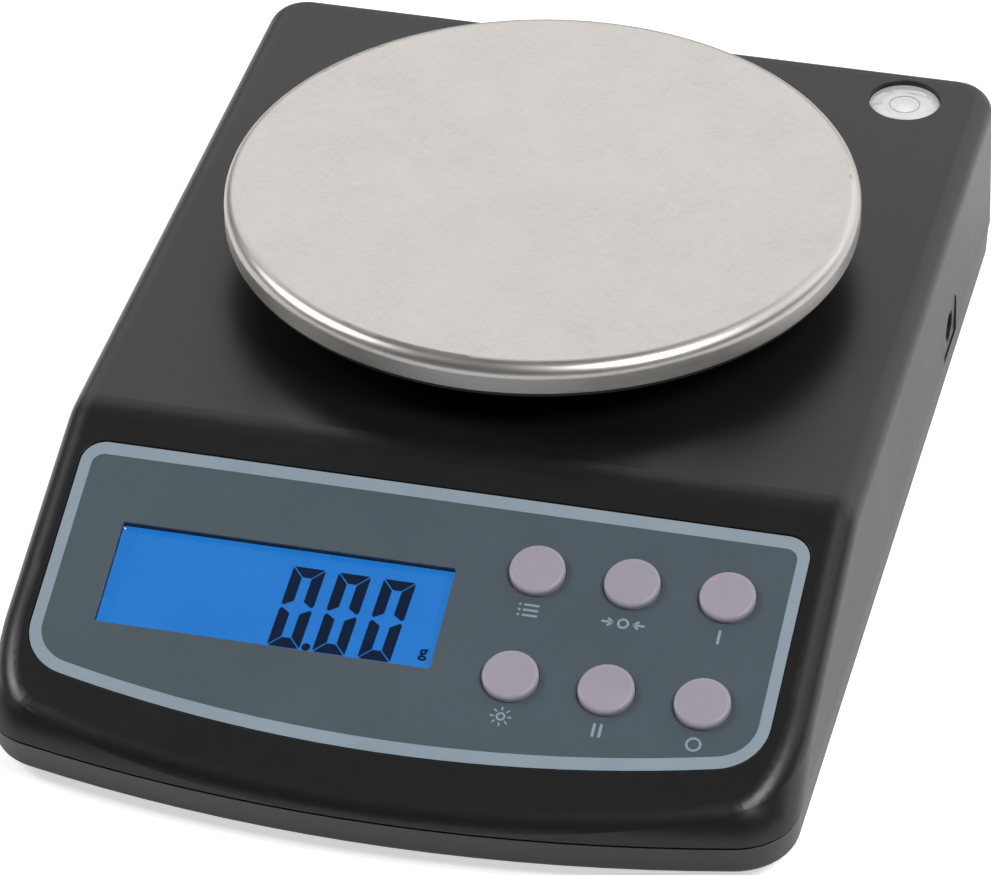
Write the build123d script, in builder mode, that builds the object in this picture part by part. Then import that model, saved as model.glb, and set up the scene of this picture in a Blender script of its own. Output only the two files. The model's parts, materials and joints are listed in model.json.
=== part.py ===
from build123d import *
from math import cos, radians, sin, tan
import os

# ---------------------------------------------------------------- driving dimensions
# The frame: +X to the right of the keypad, -Y to the keypad end, +Z up, the table at zero height.
# Casing
case_half_width = 74.2
case_half_length = 108.6
case_top = 40.1
parting_height = 10.4
case_underside = 2.5
wall = 2.2
floor_thickness = 2.4
side_draft = 1.2
lower_draft = 3.0
front_bow_radius = 286.5
front_corner_radius = 12.0
back_corner_radius = 8.5
nose_radius = 11.0
nose_spring_height = 9.0
crown_radius = 4.6
ridge_radius = 14.0
lower_nose_tuck = 2.6
lower_edge_radius = 1.6
lower_setback = 0.1
parting_groove = 0.5
lip_thickness = 1.0
lip_height = 2.0
lip_clearance = 0.15

# Keypad panel, measured down the slope from the ridge
panel_tilt = 21.0
ridge_setback = 70.7
faceplate_drop = 7.95
faceplate_half_width = 67.7
faceplate_centre_u = -0.4
faceplate_depth = 55.9
faceplate_bow_radius = 275.6
faceplate_top_corner = 4.5
faceplate_low_corner = 10.0
faceplate_thickness = 0.45
faceplate_sink = 0.15
faceplate_gap = 0.25

# Display
window_width = 62.1
window_height = 21.3
window_centre_u = -25.85
window_drop = 24.25
window_corner = 0.6
window_gap = 0.05
lens_thickness = 0.6
glass_thickness = 1.8
glass_margin_u = 1.5
glass_margin_v = 2.5
backlight_thickness = 2.8
contact_strip_width = 1.8
frame_wall = 1.4
stack_gap = 0.05

# Push buttons
button_radius = 5.1
button_proud = 1.15
button_dome_edge = 0.7
button_flange_radius = 6.2
button_flange_thickness = 1.0
button_gap = 0.3
button_travel = 0.8
button_first_u = 19.8
button_pitch_u = 17.35
button_first_drop = 22.65
button_pitch_v = 22.3

# Circuit board and its parts
board_half_width = 64.3
board_top_drop = 11.4
board_low_drop = 52.9
board_thickness = 1.6
board_depth = 8.6
board_post_radius = 2.5
board_post_u = 61.9
board_post_inset_v = 2.8
switch_size = 6.0
switch_plunger_radius = 1.75
switch_plunger_height = 0.7

# Weighing pan and what carries it
pan_back_margin = 80.2
pan_radius = 60.0
pan_rise = 15.4
pan_skirt_height = 5.7
pan_sheet = 0.8
pan_rim_radius = 2.6
pan_clearance = 0.6
pad_radius = 4.0
pad_thickness = 0.8
pad_ring_radius = 44.0
pad_count = 4
support_plate = 2.2
support_lip = 0.9
support_lip_inset = 0.5
support_ring_wall = 2.4
support_rib = 2.0
support_rib_count = 8
hub_radius = 16.0
hub_drop = 5.6
post_radius = 11.0
post_socket_depth = 4.5
post_socket_gap = 0.05
neck_opening_radius = 19.0
collar_wall = 2.0
collar_height = 2.0

# Load cell, a one-piece aluminium beam with a double-hole flexure
cell_length = 80.0
cell_section = 12.7
cell_tower_height = 7.6
cell_hole_radius = 3.9
cell_hole_spread = 9.0
cell_slot = 2.0
cell_screw_spacing = 9.0
cell_screw_margin = 4.6
cell_plate_thickness = 1.5
cell_tower_half_width = 10.0
cell_tower_length = 19.0
cell_screw_radius = 2.0
cell_screw_head_radius = 3.4
cell_screw_head_height = 2.0
carrier_plate_thickness = 2.0
carrier_plate_half_width = 12.0
gauge_cover_thickness = 1.2
stop_gap = 0.9
stop_screw_radius = 2.0

# Batteries, size AA
battery_radius = 7.1
battery_body = 49.2
battery_nub_radius = 2.7
battery_nub = 1.3
battery_pitch = 15.2
battery_advance = 3.7
battery_rows = 2
battery_lift = 0.6
battery_spring_length = 5.0
battery_spring_wire = 0.35
battery_spring_radius = 3.6
battery_spring_turns = 4
contact_thickness = 0.4
contact_half_width = 5.0
contact_height = 12.0
bay_wall = 1.5
bay_gap = 0.6
bay_wall_height = 10.0
door_gap = 0.25
door_pivot_radius = 0.75
door_pivot_length = 1.6
door_pivot_gap = 0.05
finger_notch_radius = 7.0
finger_notch_depth = 1.0

# Feet
foot_radius = 8.0
foot_thickness = 1.5
foot_pad_thickness = 0.8
foot_pad_radius = 7.2
foot_stud_radius = 2.4
foot_stud_length = 7.4
foot_stud_gap = 0.05
foot_boss_wall = 2.6
foot_boss_height = 5.0
foot_side_margin = 17.2
foot_front_margin = 22.6
foot_back_margin = 20.6

# Screws that close the casing
case_screw_side_margin = 6.4
case_screw_front_margin = 37.6
case_screw_back_margin = 31.6
case_screw_radius = 1.4
case_screw_head_radius = 2.7
case_screw_head_height = 1.8
case_screw_length = 17.0
case_post_radius = 3.4
screw_gap = 0.05

# Round bubble level
level_side_margin = 17.2
level_back_margin = 12.8
level_opening_radius = 7.1
level_sink = 1.0
level_gap = 0.15
level_flange_radius = 8.6
level_flange_thickness = 1.0
level_height = 7.0
level_cup_wall = 0.9
level_lens_thickness = 1.0
level_bubble_radius = 1.55
level_boss_wall = 1.4

# Power inlet for an outside adapter
jack_back_margin = 51.9
jack_rise = 4.8
jack_pocket_width = 12.4
jack_pocket_height = 9.6
jack_pocket_depth = 0.4
jack_hole_radius = 3.2
jack_barrel_radius = 3.0
jack_bore_radius = 2.75
jack_body_width = 9.6
jack_body_height = 9.0
jack_body_length = 13.0
jack_pin_radius = 1.0
jack_gap = 0.1

# Leads inside the casing
cell_lead_radius = 1.1
battery_lead_radius = 0.8
jack_lead_radius = 0.8

# ---------------------------------------------------------------- derived places
slope = radians(panel_tilt)
ridge_y = ridge_setback - case_half_length
panel = Plane(origin=(0, ridge_y, case_top), x_dir=(1, 0, 0), z_dir=(0, -sin(slope), cos(slope)))
panel_axis = Axis(panel.origin, panel.z_dir)
bow_centre_y = front_bow_radius - case_half_length
faceplate_top_v = -faceplate_drop
faceplate_low_v = faceplate_top_v - faceplate_depth
recess_depth = faceplate_thickness + faceplate_sink
window_centre_v = -window_drop - window_height / 2
button_names = (
    ("mode_button", "tare_button", "on_button"),
    ("backlight_button", "hold_button", "off_button"),
)

lens_top = -wall + lens_thickness
glass_top = -wall - stack_gap
backlight_top = glass_top - glass_thickness - stack_gap
board_centre_v = -(board_top_drop + board_low_drop) / 2
board_post_v = board_low_drop / 2 - board_top_drop / 2 - board_post_inset_v
board_underside = -board_depth - board_thickness
glass_width = window_width + 2 * glass_margin_u
glass_height = window_height + 2 * glass_margin_v

pan_centre_y = case_half_length - pan_back_margin
pan_top = case_top + pan_rise
pan_floor = pan_top - pan_sheet
support_top = pan_floor - pad_thickness
support_lip_top = pan_top - pan_skirt_height - stack_gap
support_base = support_lip_top - support_lip
support_radius = pan_radius - pan_sheet - pan_clearance
hub_base = support_base - hub_drop
post_top = hub_base + post_socket_depth

cell_floor = case_underside + floor_thickness
cell_tower_top = cell_floor + cell_tower_height
cell_base = cell_tower_top + cell_plate_thickness
cell_top = cell_base + cell_section
cell_back_y = pan_centre_y + cell_length / 2
cell_front_y = pan_centre_y - cell_length / 2
cell_fixed_y = cell_back_y - cell_screw_margin - cell_screw_spacing / 2
cell_free_y = cell_front_y + cell_screw_margin + cell_screw_spacing / 2
cell_pad_length = 2 * cell_screw_margin + cell_screw_spacing
carrier_base = cell_top + cell_plate_thickness
carrier_top = carrier_base + carrier_plate_thickness
carrier_length = pan_centre_y + post_radius - cell_front_y

battery_row_y = ridge_y - battery_advance
battery_axis_z = cell_floor + battery_lift + battery_radius
battery_cell = battery_body + battery_nub
battery_row = 2 * battery_cell + battery_spring_length
bay_half_length = battery_row / 2 + contact_thickness + bay_gap
bay_centre_y = battery_row_y + battery_pitch * (battery_rows - 1) / 2
bay_half_width = battery_pitch * battery_rows / 2 + bay_gap
door_half_length = bay_half_length - door_gap
door_half_width = bay_half_width - door_gap
door_radius = floor_thickness / 2
door_axis_y = bay_centre_y + bay_half_width - door_gap - door_radius
door_axis_z = case_underside + door_radius

case_screw_x = case_half_width - case_screw_side_margin
case_screw_front_y = case_screw_front_margin - case_half_length
case_screw_back_y = case_half_length - case_screw_back_margin
case_screw_places = [
    (side * case_screw_x, y) for y in (case_screw_front_y, case_screw_back_y) for side in (-1, 1)
]
foot_x = case_half_width - foot_side_margin
foot_front_y = foot_front_margin - case_half_length
foot_back_y = case_half_length - foot_back_margin
foot_places = {
    "front_left": (-foot_x, foot_front_y),
    "front_right": (foot_x, foot_front_y),
    "back_left": (-foot_x, foot_back_y),
    "back_right": (foot_x, foot_back_y),
}
level_x = case_half_width - level_side_margin
level_y = case_half_length - level_back_margin
level_lens_top = case_top - level_sink
level_base_z = level_lens_top - level_height
level_flange_top = level_lens_top - level_lens_thickness - level_gap
level_body_radius = level_opening_radius - level_gap

jack_y = case_half_length - jack_back_margin
jack_z = parting_height + jack_rise


def on_panel(depth):
    """The keypad panel's plane, moved outwards by a depth; inwards when negative."""
    return panel.offset(depth)


def crown_rim(form):
    """The edges where the top, the ridge and the panel meet the walls."""
    crown = [face for face in form.faces() if face.normal_at().Z > cos(slope) - 0.05]
    edges = [edge for face in crown for edge in face.edges()]
    return [edge for edge in edges if sum(edge.is_same(other) for other in edges) == 1]


def front_corners(form, half_width):
    """The edges that run up the two front corners, between the nose and the side walls."""
    low = form.vertices().sort_by(Axis.Z)[0].Z
    high = form.vertices().sort_by(Axis.Z)[-1].Z
    edges = form.edges().filter_by(lambda edge: edge.center().Y < ridge_y)
    edges = edges.filter_by(lambda edge: abs(edge.center().X) > half_width - wall)
    return edges.filter_by(lambda edge: low + 0.01 < edge.center().Z < high - 0.01)


def nose_disc(inset, low, high):
    """Half the section of a round disc whose rim is the bowed nose of the upper casing."""
    front = -case_half_length + inset
    radius = nose_radius - inset
    turn = radians(45)
    shoulder = (front + radius * (1 - cos(turn)), nose_spring_height + radius * sin(turn))
    middle = (front + radius * (1 - cos(turn / 2)), nose_spring_height + radius * sin(turn / 2))
    with BuildSketch(Plane.YZ) as section:
        with BuildLine():
            Polyline((bow_centre_y, low), (front, low), (front, nose_spring_height))
            ThreePointArc((front, nose_spring_height), middle, shoulder)
            run = high - shoulder[1]
            Polyline(shoulder, (shoulder[0] + run, high), (bow_centre_y, high), (bow_centre_y, low))
        make_face()
    return section.sketch


def upper_form(inset):
    """The upper casing's outer form as one solid, drawn in on every side by an inset."""
    low = parting_height - nose_radius
    high = case_top + nose_radius
    spread = (parting_height - low) * tan(radians(side_draft))
    half_width = case_half_width - inset + spread
    back = case_half_length - inset + spread
    length = 2 * case_half_length
    with BuildPart() as form:
        with BuildSketch(Plane.XY.offset(low)) as plan:
            with Locations((0, back - length / 2)):
                Rectangle(2 * half_width, length)
            with Locations((0, back - length)):
                Rectangle(2 * half_width, length / 2)
            fillet(plan.vertices().group_by(Axis.Y)[-1], back_corner_radius - inset)
        extrude(amount=high - low, taper=side_draft)
        add(nose_disc(inset, low - 1, high + 1))
        revolve(axis=Axis((0, bow_centre_y, 0), (0, 0, 1)), mode=Mode.INTERSECT)
        fillet(front_corners(form, case_half_width - inset), front_corner_radius - inset)
        ridge = (ridge_y + inset * tan(slope / 2), case_top - inset)
        run = case_half_length
        with BuildSketch(Plane.YZ) as above:
            with BuildLine():
                Polyline(
                    (2 * run, ridge[1]),
                    ridge,
                    (ridge[0] - run, ridge[1] - run * tan(slope)),
                    (ridge[0] - run, 2 * run),
                    (2 * run, 2 * run),
                    close=True,
                )
            make_face()
            bend = above.vertices().sort_by_distance((0, ridge[0], ridge[1]))[0]
            fillet(bend, ridge_radius - inset)
        extrude(amount=2 * case_half_width, both=True, mode=Mode.SUBTRACT)
        fillet(crown_rim(form), crown_radius - inset)
    return form.part


def lower_form(inset, base_inset):
    """The lower casing's outer form as one solid, drawn in by an inset and raised at its base."""
    base = case_underside + base_inset
    rise = parting_height - case_underside
    shrink = rise * tan(radians(lower_draft))
    half_width = case_half_width - lower_setback - shrink - inset
    back = case_half_length - lower_setback - shrink - inset
    front = -case_half_length + lower_setback + inset
    length = 2 * case_half_length
    with BuildPart() as form:
        with BuildSketch(Plane.XY.offset(case_underside)) as plan:
            with Locations((0, back - length / 2)):
                Rectangle(2 * half_width, length)
            with Locations((0, back - length)):
                Rectangle(2 * half_width, length / 2)
            fillet(plan.vertices().group_by(Axis.Y)[-1], back_corner_radius - inset)
        extrude(amount=rise, taper=-lower_draft)
        with BuildSketch(Plane.YZ):
            with BuildLine():
                Polyline(
                    (bow_centre_y, case_underside - 1),
                    (front + lower_nose_tuck * (1 + 1 / rise), case_underside - 1),
                    (front, parting_height),
                    (front, parting_height + 1),
                    (bow_centre_y, parting_height + 1),
                    close=True,
                )
            make_face()
        revolve(axis=Axis((0, bow_centre_y, 0), (0, 0, 1)), mode=Mode.INTERSECT)
        fillet(front_corners(form, half_width), front_corner_radius - inset)
        fillet(form.faces().sort_by(Axis.Z)[0].edges(), max(lower_edge_radius - inset, lip_clearance))
        if base_inset > 0:
            split(bisect_by=Plane.XY.offset(base), keep=Keep.TOP)
    return form.part


def faceplate_outline(growth):
    """The bowed keypad outline on the panel, grown all round."""
    half_width = faceplate_half_width + growth
    top = faceplate_top_v + growth
    low = faceplate_low_v - growth
    radius = faceplate_bow_radius
    with BuildSketch(Plane.XY) as outline:
        with Locations((faceplate_centre_u, top - faceplate_depth)):
            Rectangle(2 * half_width, 2 * faceplate_depth)
        with Locations((faceplate_centre_u, low + radius)):
            Circle(radius, mode=Mode.INTERSECT)
        corners = outline.vertices().sort_by(Axis.Y)
        fillet(corners[-2:], faceplate_top_corner + growth)
        corners = outline.vertices().filter_by(lambda point: point.Y < top - faceplate_depth / 2)
        fillet(corners, faceplate_low_corner + growth)
    return outline.sketch


def window_outline(growth):
    """The display window's outline on the panel, grown all round."""
    with BuildSketch(Plane.XY) as outline:
        with Locations((window_centre_u, window_centre_v)):
            RectangleRounded(window_width + 2 * growth, window_height + 2 * growth, window_corner)
    return outline.sketch


def button_places():
    """The centres of the buttons on the panel, row by row from the top."""
    return [
        (button_first_u + column * button_pitch_u, -button_first_drop - row * button_pitch_v)
        for row in range(len(button_names))
        for column in range(len(button_names[0]))
    ]


def board_posts():
    """The places of the four circuit board posts on the panel."""
    return [
        (side * board_post_u, board_centre_v + end * board_post_v) for end in (1, -1) for side in (-1, 1)
    ]


def save(part, name):
    """Name a finished piece and write it out."""
    part.label = name
    export_step(part, f"parts/{name}.step")


os.makedirs("parts", exist_ok=True)

# ---------------------------------------------------------------- upper casing
with BuildPart() as top_housing:
    # Posts for the casing screws, the circuit board and the level, trimmed inside the outer form.
    with BuildSketch(Plane.XY.offset(parting_height + lip_height)):
        with Locations(*case_screw_places):
            Circle(case_post_radius)
    extrude(amount=case_top)
    with BuildSketch(on_panel(-board_depth)):
        with Locations(*board_posts()):
            Circle(board_post_radius)
    extrude(amount=board_depth - wall / 2)
    with BuildSketch(Plane.XY.offset(level_base_z)):
        with Locations((level_x, level_y)):
            Circle(level_flange_radius + level_gap + level_boss_wall)
    extrude(amount=level_height + level_sink)
    add(upper_form(wall / 2), mode=Mode.INTERSECT)
    add(upper_form(0) - upper_form(wall))
    split(bisect_by=Plane.XY.offset(parting_height), keep=Keep.TOP)
    # The keypad recess, the display window and the button holes.
    with BuildSketch(on_panel(-recess_depth)):
        add(faceplate_outline(faceplate_gap))
    extrude(amount=2 * recess_depth, mode=Mode.SUBTRACT)
    with BuildSketch(on_panel(-wall)):
        add(window_outline(window_gap))
    extrude(amount=wall, both=True, mode=Mode.SUBTRACT)
    with BuildSketch(on_panel(-wall)):
        with Locations(*button_places()):
            Circle(button_radius + button_gap)
    extrude(amount=wall, both=True, mode=Mode.SUBTRACT)
    # The neck opening under the pan, with its dust collar.
    with BuildSketch(Plane.XY.offset(case_top - wall)):
        with Locations((0, pan_centre_y)):
            Circle(neck_opening_radius + collar_wall)
    extrude(amount=wall + collar_height)
    with BuildSketch(Plane.XY.offset(case_top - 2 * wall)):
        with Locations((0, pan_centre_y)):
            Circle(neck_opening_radius)
    extrude(amount=2 * wall + 2 * collar_height, mode=Mode.SUBTRACT)
    # The level's opening and its seat.
    with BuildSketch(Plane.XY.offset(level_base_z - wall)):
        with Locations((level_x, level_y)):
            Circle(level_opening_radius)
    extrude(amount=level_height + 2 * wall + level_sink, mode=Mode.SUBTRACT)
    with BuildSketch(Plane.XY.offset(level_base_z - wall)):
        with Locations((level_x, level_y)):
            Circle(level_flange_radius + level_gap)
    extrude(amount=wall + level_flange_top + level_gap - level_base_z, mode=Mode.SUBTRACT)
    # The power inlet's pocket, open at the parting line, and its hole.
    with BuildSketch(Plane.YZ.offset(case_half_width - jack_pocket_depth)):
        with Locations((jack_y, parting_height)):
            RectangleRounded(jack_pocket_width, 2 * jack_pocket_height, jack_hole_radius)
    extrude(amount=2 * jack_pocket_depth, mode=Mode.SUBTRACT)
    with BuildSketch(Plane.YZ.offset(case_half_width - 2 * wall)):
        with Locations((jack_y, jack_z)):
            Circle(jack_hole_radius)
    extrude(amount=3 * wall, mode=Mode.SUBTRACT)
    # Screw holes in the posts.
    with BuildSketch(Plane.XY.offset(case_underside)):
        with Locations(*case_screw_places):
            Circle(case_screw_radius + screw_gap)
    extrude(amount=case_screw_head_height + case_screw_length + 1, mode=Mode.SUBTRACT)
    with BuildSketch(on_panel(-board_depth)):
        with Locations(*board_posts()):
            Circle(case_screw_radius + screw_gap)
    extrude(amount=board_depth - wall - 1, mode=Mode.SUBTRACT)
save(top_housing.part, "top_housing")

# ---------------------------------------------------------------- lower casing
rim = parting_height - parting_groove
tube_top = parting_height + lip_height - screw_gap

with BuildPart() as bottom_housing:
    add(lower_form(0, 0))
    add(lower_form(wall, floor_thickness), mode=Mode.SUBTRACT)
    split(bisect_by=Plane.XY.offset(rim), keep=Keep.BOTTOM)
    # The locating lip that stands up inside the upper casing.
    lip = upper_form(wall + lip_clearance) - upper_form(wall + lip_clearance + lip_thickness)
    lip = lip.split(Plane.XY.offset(cell_floor), keep=Keep.TOP)
    add(lip.split(Plane.XY.offset(parting_height + lip_height), keep=Keep.BOTTOM))
    with BuildSketch(Plane.YZ.offset(case_half_width / 2)):
        with Locations((jack_y, jack_z)):
            Rectangle(jack_body_width + wall, 2 * (jack_z - rim))
    extrude(amount=case_half_width, mode=Mode.SUBTRACT)
    # The load cell's tower, the screw tubes and the feet's bosses.
    with BuildSketch(Plane.XY.offset(case_underside)):
        with Locations((0, cell_fixed_y)):
            Rectangle(2 * cell_tower_half_width, cell_tower_length)
    extrude(amount=cell_tower_top - case_underside)
    with BuildSketch(Plane.XY.offset(case_underside)):
        with Locations(*case_screw_places):
            Circle(case_post_radius)
    extrude(amount=tube_top - case_underside)
    with BuildSketch(Plane.XY.offset(case_underside)):
        with Locations(*foot_places.values()):
            Circle(foot_stud_radius + foot_boss_wall)
    extrude(amount=floor_thickness + foot_boss_height)
    with BuildSketch(Plane.XY.offset(case_underside)):
        with Locations((0, cell_free_y)):
            Circle(stop_screw_radius + foot_boss_wall)
    extrude(amount=floor_thickness + foot_boss_height / 2)
    # The battery bay: four walls round the door's opening.
    with BuildSketch(Plane.XY.offset(cell_floor)):
        with Locations((0, bay_centre_y)):
            Rectangle(2 * (bay_half_length + bay_wall), 2 * (bay_half_width + bay_wall))
            Rectangle(2 * bay_half_length, 2 * bay_half_width, mode=Mode.SUBTRACT)
    extrude(amount=bay_wall_height)
    with BuildSketch(Plane.XY.offset(case_underside)):
        with Locations((0, bay_centre_y)):
            Rectangle(2 * bay_half_length, 2 * bay_half_width)
    extrude(amount=floor_thickness, mode=Mode.SUBTRACT)
    with BuildSketch(Plane.YZ):
        with Locations((door_axis_y, door_axis_z)):
            Circle(door_pivot_radius + door_pivot_gap)
    extrude(amount=door_half_length + door_pivot_length + door_gap, both=True, mode=Mode.SUBTRACT)
    # Screw holes with sunk heads.
    with BuildSketch(Plane.XY.offset(case_underside)):
        with Locations(*case_screw_places):
            Circle(case_screw_radius + screw_gap)
        with Locations(*foot_places.values()):
            Circle(foot_stud_radius + foot_stud_gap)
        with Locations((0, cell_free_y)):
            Circle(stop_screw_radius + screw_gap)
        with Locations((0, cell_fixed_y)):
            with GridLocations(0, cell_screw_spacing, 1, 2):
                Circle(cell_screw_radius + screw_gap)
    extrude(amount=case_top - case_underside, mode=Mode.SUBTRACT)
    with BuildSketch(Plane.XY.offset(case_underside)):
        with Locations(*case_screw_places):
            Circle(case_screw_head_radius + screw_gap)
        with Locations((0, cell_fixed_y)):
            with GridLocations(0, cell_screw_spacing, 1, 2):
                Circle(cell_screw_head_radius + screw_gap)
    extrude(amount=cell_screw_head_height + screw_gap, mode=Mode.SUBTRACT)
save(bottom_housing.part, "bottom_housing")

with BuildPart() as battery_door:
    with BuildSketch(Plane.YZ) as edge:
        with Locations((door_axis_y - door_half_width + door_radius / 2, door_axis_z)):
            Rectangle(2 * door_half_width - door_radius, floor_thickness)
        with Locations((door_axis_y, door_axis_z)):
            Circle(door_radius)
    extrude(amount=door_half_length, both=True)
    with BuildSketch(Plane.YZ):
        with Locations((door_axis_y, door_axis_z)):
            Circle(door_pivot_radius)
    extrude(amount=door_half_length + door_pivot_length, both=True)
    # A finger notch at the free edge.
    with BuildSketch(Plane.XY.offset(case_underside)):
        with Locations((0, bay_centre_y - door_half_width)):
            Circle(finger_notch_radius)
    extrude(amount=finger_notch_depth, mode=Mode.SUBTRACT)
save(battery_door.part, "battery_door")

# ---------------------------------------------------------------- keypad and display
with BuildPart() as faceplate:
    with BuildSketch(on_panel(-recess_depth)):
        add(faceplate_outline(0))
        add(window_outline(0), mode=Mode.SUBTRACT)
        with Locations(*button_places()):
            Circle(button_radius + button_gap / 2, mode=Mode.SUBTRACT)
    extrude(amount=faceplate_thickness)
save(faceplate.part, "faceplate")

with BuildPart() as lcd_window:
    with BuildSketch(on_panel(lens_top - lens_thickness)):
        add(window_outline(0))
    extrude(amount=lens_thickness)
save(lcd_window.part, "lcd_window")


def display_layer(width, height, top, thickness):
    """One flat layer of the display stack, behind the window."""
    with BuildPart() as layer:
        with BuildSketch(on_panel(top - thickness)):
            with Locations((window_centre_u, window_centre_v)):
                Rectangle(width, height)
        extrude(amount=thickness)
    return layer.part


strip_height = backlight_top + board_depth
save(display_layer(glass_width, glass_height, glass_top, glass_thickness), "lcd_glass")
backlight_height = glass_height - 2 * contact_strip_width - 2 * stack_gap
save(display_layer(glass_width, backlight_height, backlight_top, backlight_thickness), "lcd_backlight")

with BuildPart() as lcd_contact_strips:
    with BuildSketch(on_panel(backlight_top)):
        with Locations((window_centre_u, window_centre_v)):
            with GridLocations(0, glass_height - contact_strip_width, 1, 2):
                Rectangle(window_width, contact_strip_width)
    extrude(amount=-strip_height + stack_gap)
save(lcd_contact_strips.part, "lcd_contact_strips")

frame_width = glass_width + 2 * stack_gap + 2 * frame_wall
frame_height = glass_height + 2 * stack_gap + 2 * frame_wall
with BuildPart() as lcd_frame:
    with BuildSketch(on_panel(-board_depth + stack_gap)):
        with Locations((window_centre_u, window_centre_v)):
            Rectangle(frame_width, frame_height)
            Rectangle(glass_width + 2 * stack_gap, glass_height + 2 * stack_gap, mode=Mode.SUBTRACT)
    extrude(amount=board_depth - stack_gap + glass_top)
save(lcd_frame.part, "lcd_frame")

with BuildPart() as main_pcb:
    with BuildSketch(on_panel(board_underside)):
        with Locations((0, board_centre_v)):
            Rectangle(2 * board_half_width, board_low_drop - board_top_drop)
        with Locations(*board_posts()):
            Circle(case_screw_radius + screw_gap, mode=Mode.SUBTRACT)
    extrude(amount=board_thickness)
save(main_pcb.part, "main_pcb")

with BuildPart() as pcb_screws:
    with BuildSketch(on_panel(board_underside - case_screw_head_height)):
        with Locations(*board_posts()):
            Circle(case_screw_head_radius)
    extrude(amount=case_screw_head_height)
    with BuildSketch(on_panel(board_underside - case_screw_head_height)):
        with Locations(*board_posts()):
            Circle(case_screw_radius)
    extrude(amount=case_screw_head_height + board_thickness + board_depth - 2 * wall)
save(pcb_screws.part, "pcb_screws")

switch_top = -wall - 2 * stack_gap - button_flange_thickness - button_travel - stack_gap
switch_body = switch_top - switch_plunger_height + board_depth
with BuildPart() as tact_switches:
    with BuildSketch(on_panel(-board_depth)):
        with Locations(*button_places()):
            Rectangle(switch_size, switch_size)
    extrude(amount=switch_body)
    with BuildSketch(on_panel(-board_depth)):
        with Locations(*button_places()):
            Circle(switch_plunger_radius)
    extrude(amount=switch_body + switch_plunger_height)
save(tact_switches.part, "tact_switches")

# The processor, the weighing converter, the clock crystal and the lead sockets, under the board.
chips = (
    ("processor", -20.0, -33.9, 14.0, 14.0, 2.0),
    ("converter", 8.0, -40.9, 10.0, 6.2, 1.8),
    ("crystal", 8.0, -30.9, 8.0, 3.2, 2.6),
    ("regulator", 30.0, -34.9, 6.6, 6.2, 2.3),
    ("cell_socket", 0.0, -16.9, 12.5, 5.0, 5.6),
    ("battery_socket", -42.0, -16.9, 7.5, 5.0, 5.6),
    ("jack_socket", 42.0, -16.9, 7.5, 5.0, 5.6),
)
with BuildPart() as circuit_parts:
    for chip_name, chip_u, chip_v, chip_width, chip_length, chip_height in chips:
        with BuildSketch(on_panel(board_underside)):
            with Locations((chip_u, chip_v)):
                Rectangle(chip_width, chip_length)
        extrude(amount=-chip_height)
save(circuit_parts.part, "circuit_parts")

flange_top = -wall - 2 * stack_gap


def button_cap(place):
    """A button: a domed cap in the keypad with a flange behind the casing wall."""
    with BuildPart() as cap:
        with BuildSketch(on_panel(flange_top)):
            with Locations(place):
                Circle(button_radius)
        extrude(amount=button_proud - flange_top)
        top = cap.faces().sort_by(panel_axis)[-1]
        fillet(top.edges(), button_dome_edge)
        with BuildSketch(on_panel(flange_top - button_flange_thickness)):
            with Locations(place):
                Circle(button_flange_radius)
        extrude(amount=button_flange_thickness)
    return cap.part


for button_name, button_place in zip(sum(button_names, ()), button_places()):
    save(button_cap(button_place), button_name)

# ---------------------------------------------------------------- weighing pan

with BuildPart() as weighing_pan:
    with BuildSketch(Plane.XY.offset(pan_top - pan_skirt_height)):
        with Locations((0, pan_centre_y)):
            Circle(pan_radius)
    extrude(amount=pan_skirt_height)
    fillet(weighing_pan.faces().sort_by(Axis.Z)[-1].edges(), pan_rim_radius)
    offset(amount=-pan_sheet, openings=weighing_pan.faces().sort_by(Axis.Z)[0])
save(weighing_pan.part, "weighing_pan")

with BuildPart() as pan_pads:
    with BuildSketch(Plane.XY.offset(support_top)):
        with Locations((0, pan_centre_y)):
            with PolarLocations(pad_ring_radius, pad_count, start_angle=45):
                Circle(pad_radius)
    extrude(amount=pad_thickness)
save(pan_pads.part, "pan_pads")

ring_top = support_top - pan_rim_radius + pan_sheet
with BuildPart() as pan_support:
    with BuildSketch(Plane.XY.offset(support_base)):
        with Locations((0, pan_centre_y)):
            Circle(pan_radius - support_lip_inset)
    extrude(amount=support_lip)
    with BuildSketch(Plane.XY.offset(support_base)):
        with Locations((0, pan_centre_y)):
            Circle(support_radius)
    extrude(amount=support_plate)
    with BuildSketch(Plane.XY.offset(support_base)):
        with Locations((0, pan_centre_y)):
            Circle(support_radius)
            Circle(support_radius - support_ring_wall, mode=Mode.SUBTRACT)
            with PolarLocations(support_radius / 2, support_rib_count):
                Rectangle(support_radius - support_ring_wall, support_rib)
    extrude(amount=ring_top - support_base)
    with BuildSketch(Plane.XY.offset(support_base)):
        with Locations((0, pan_centre_y)):
            Circle(hub_radius)
            with PolarLocations(pad_ring_radius, pad_count, start_angle=45):
                Circle(pad_radius + support_rib / 2)
    extrude(amount=support_top - support_base)
    with BuildSketch(Plane.XY.offset(hub_base)):
        with Locations((0, pan_centre_y)):
            Circle(hub_radius)
    extrude(amount=hub_drop)
    with BuildSketch(Plane.XY.offset(hub_base)):
        with Locations((0, pan_centre_y)):
            Circle(post_radius + post_socket_gap)
    extrude(amount=post_socket_depth, mode=Mode.SUBTRACT)
save(pan_support.part, "pan_support")

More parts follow.
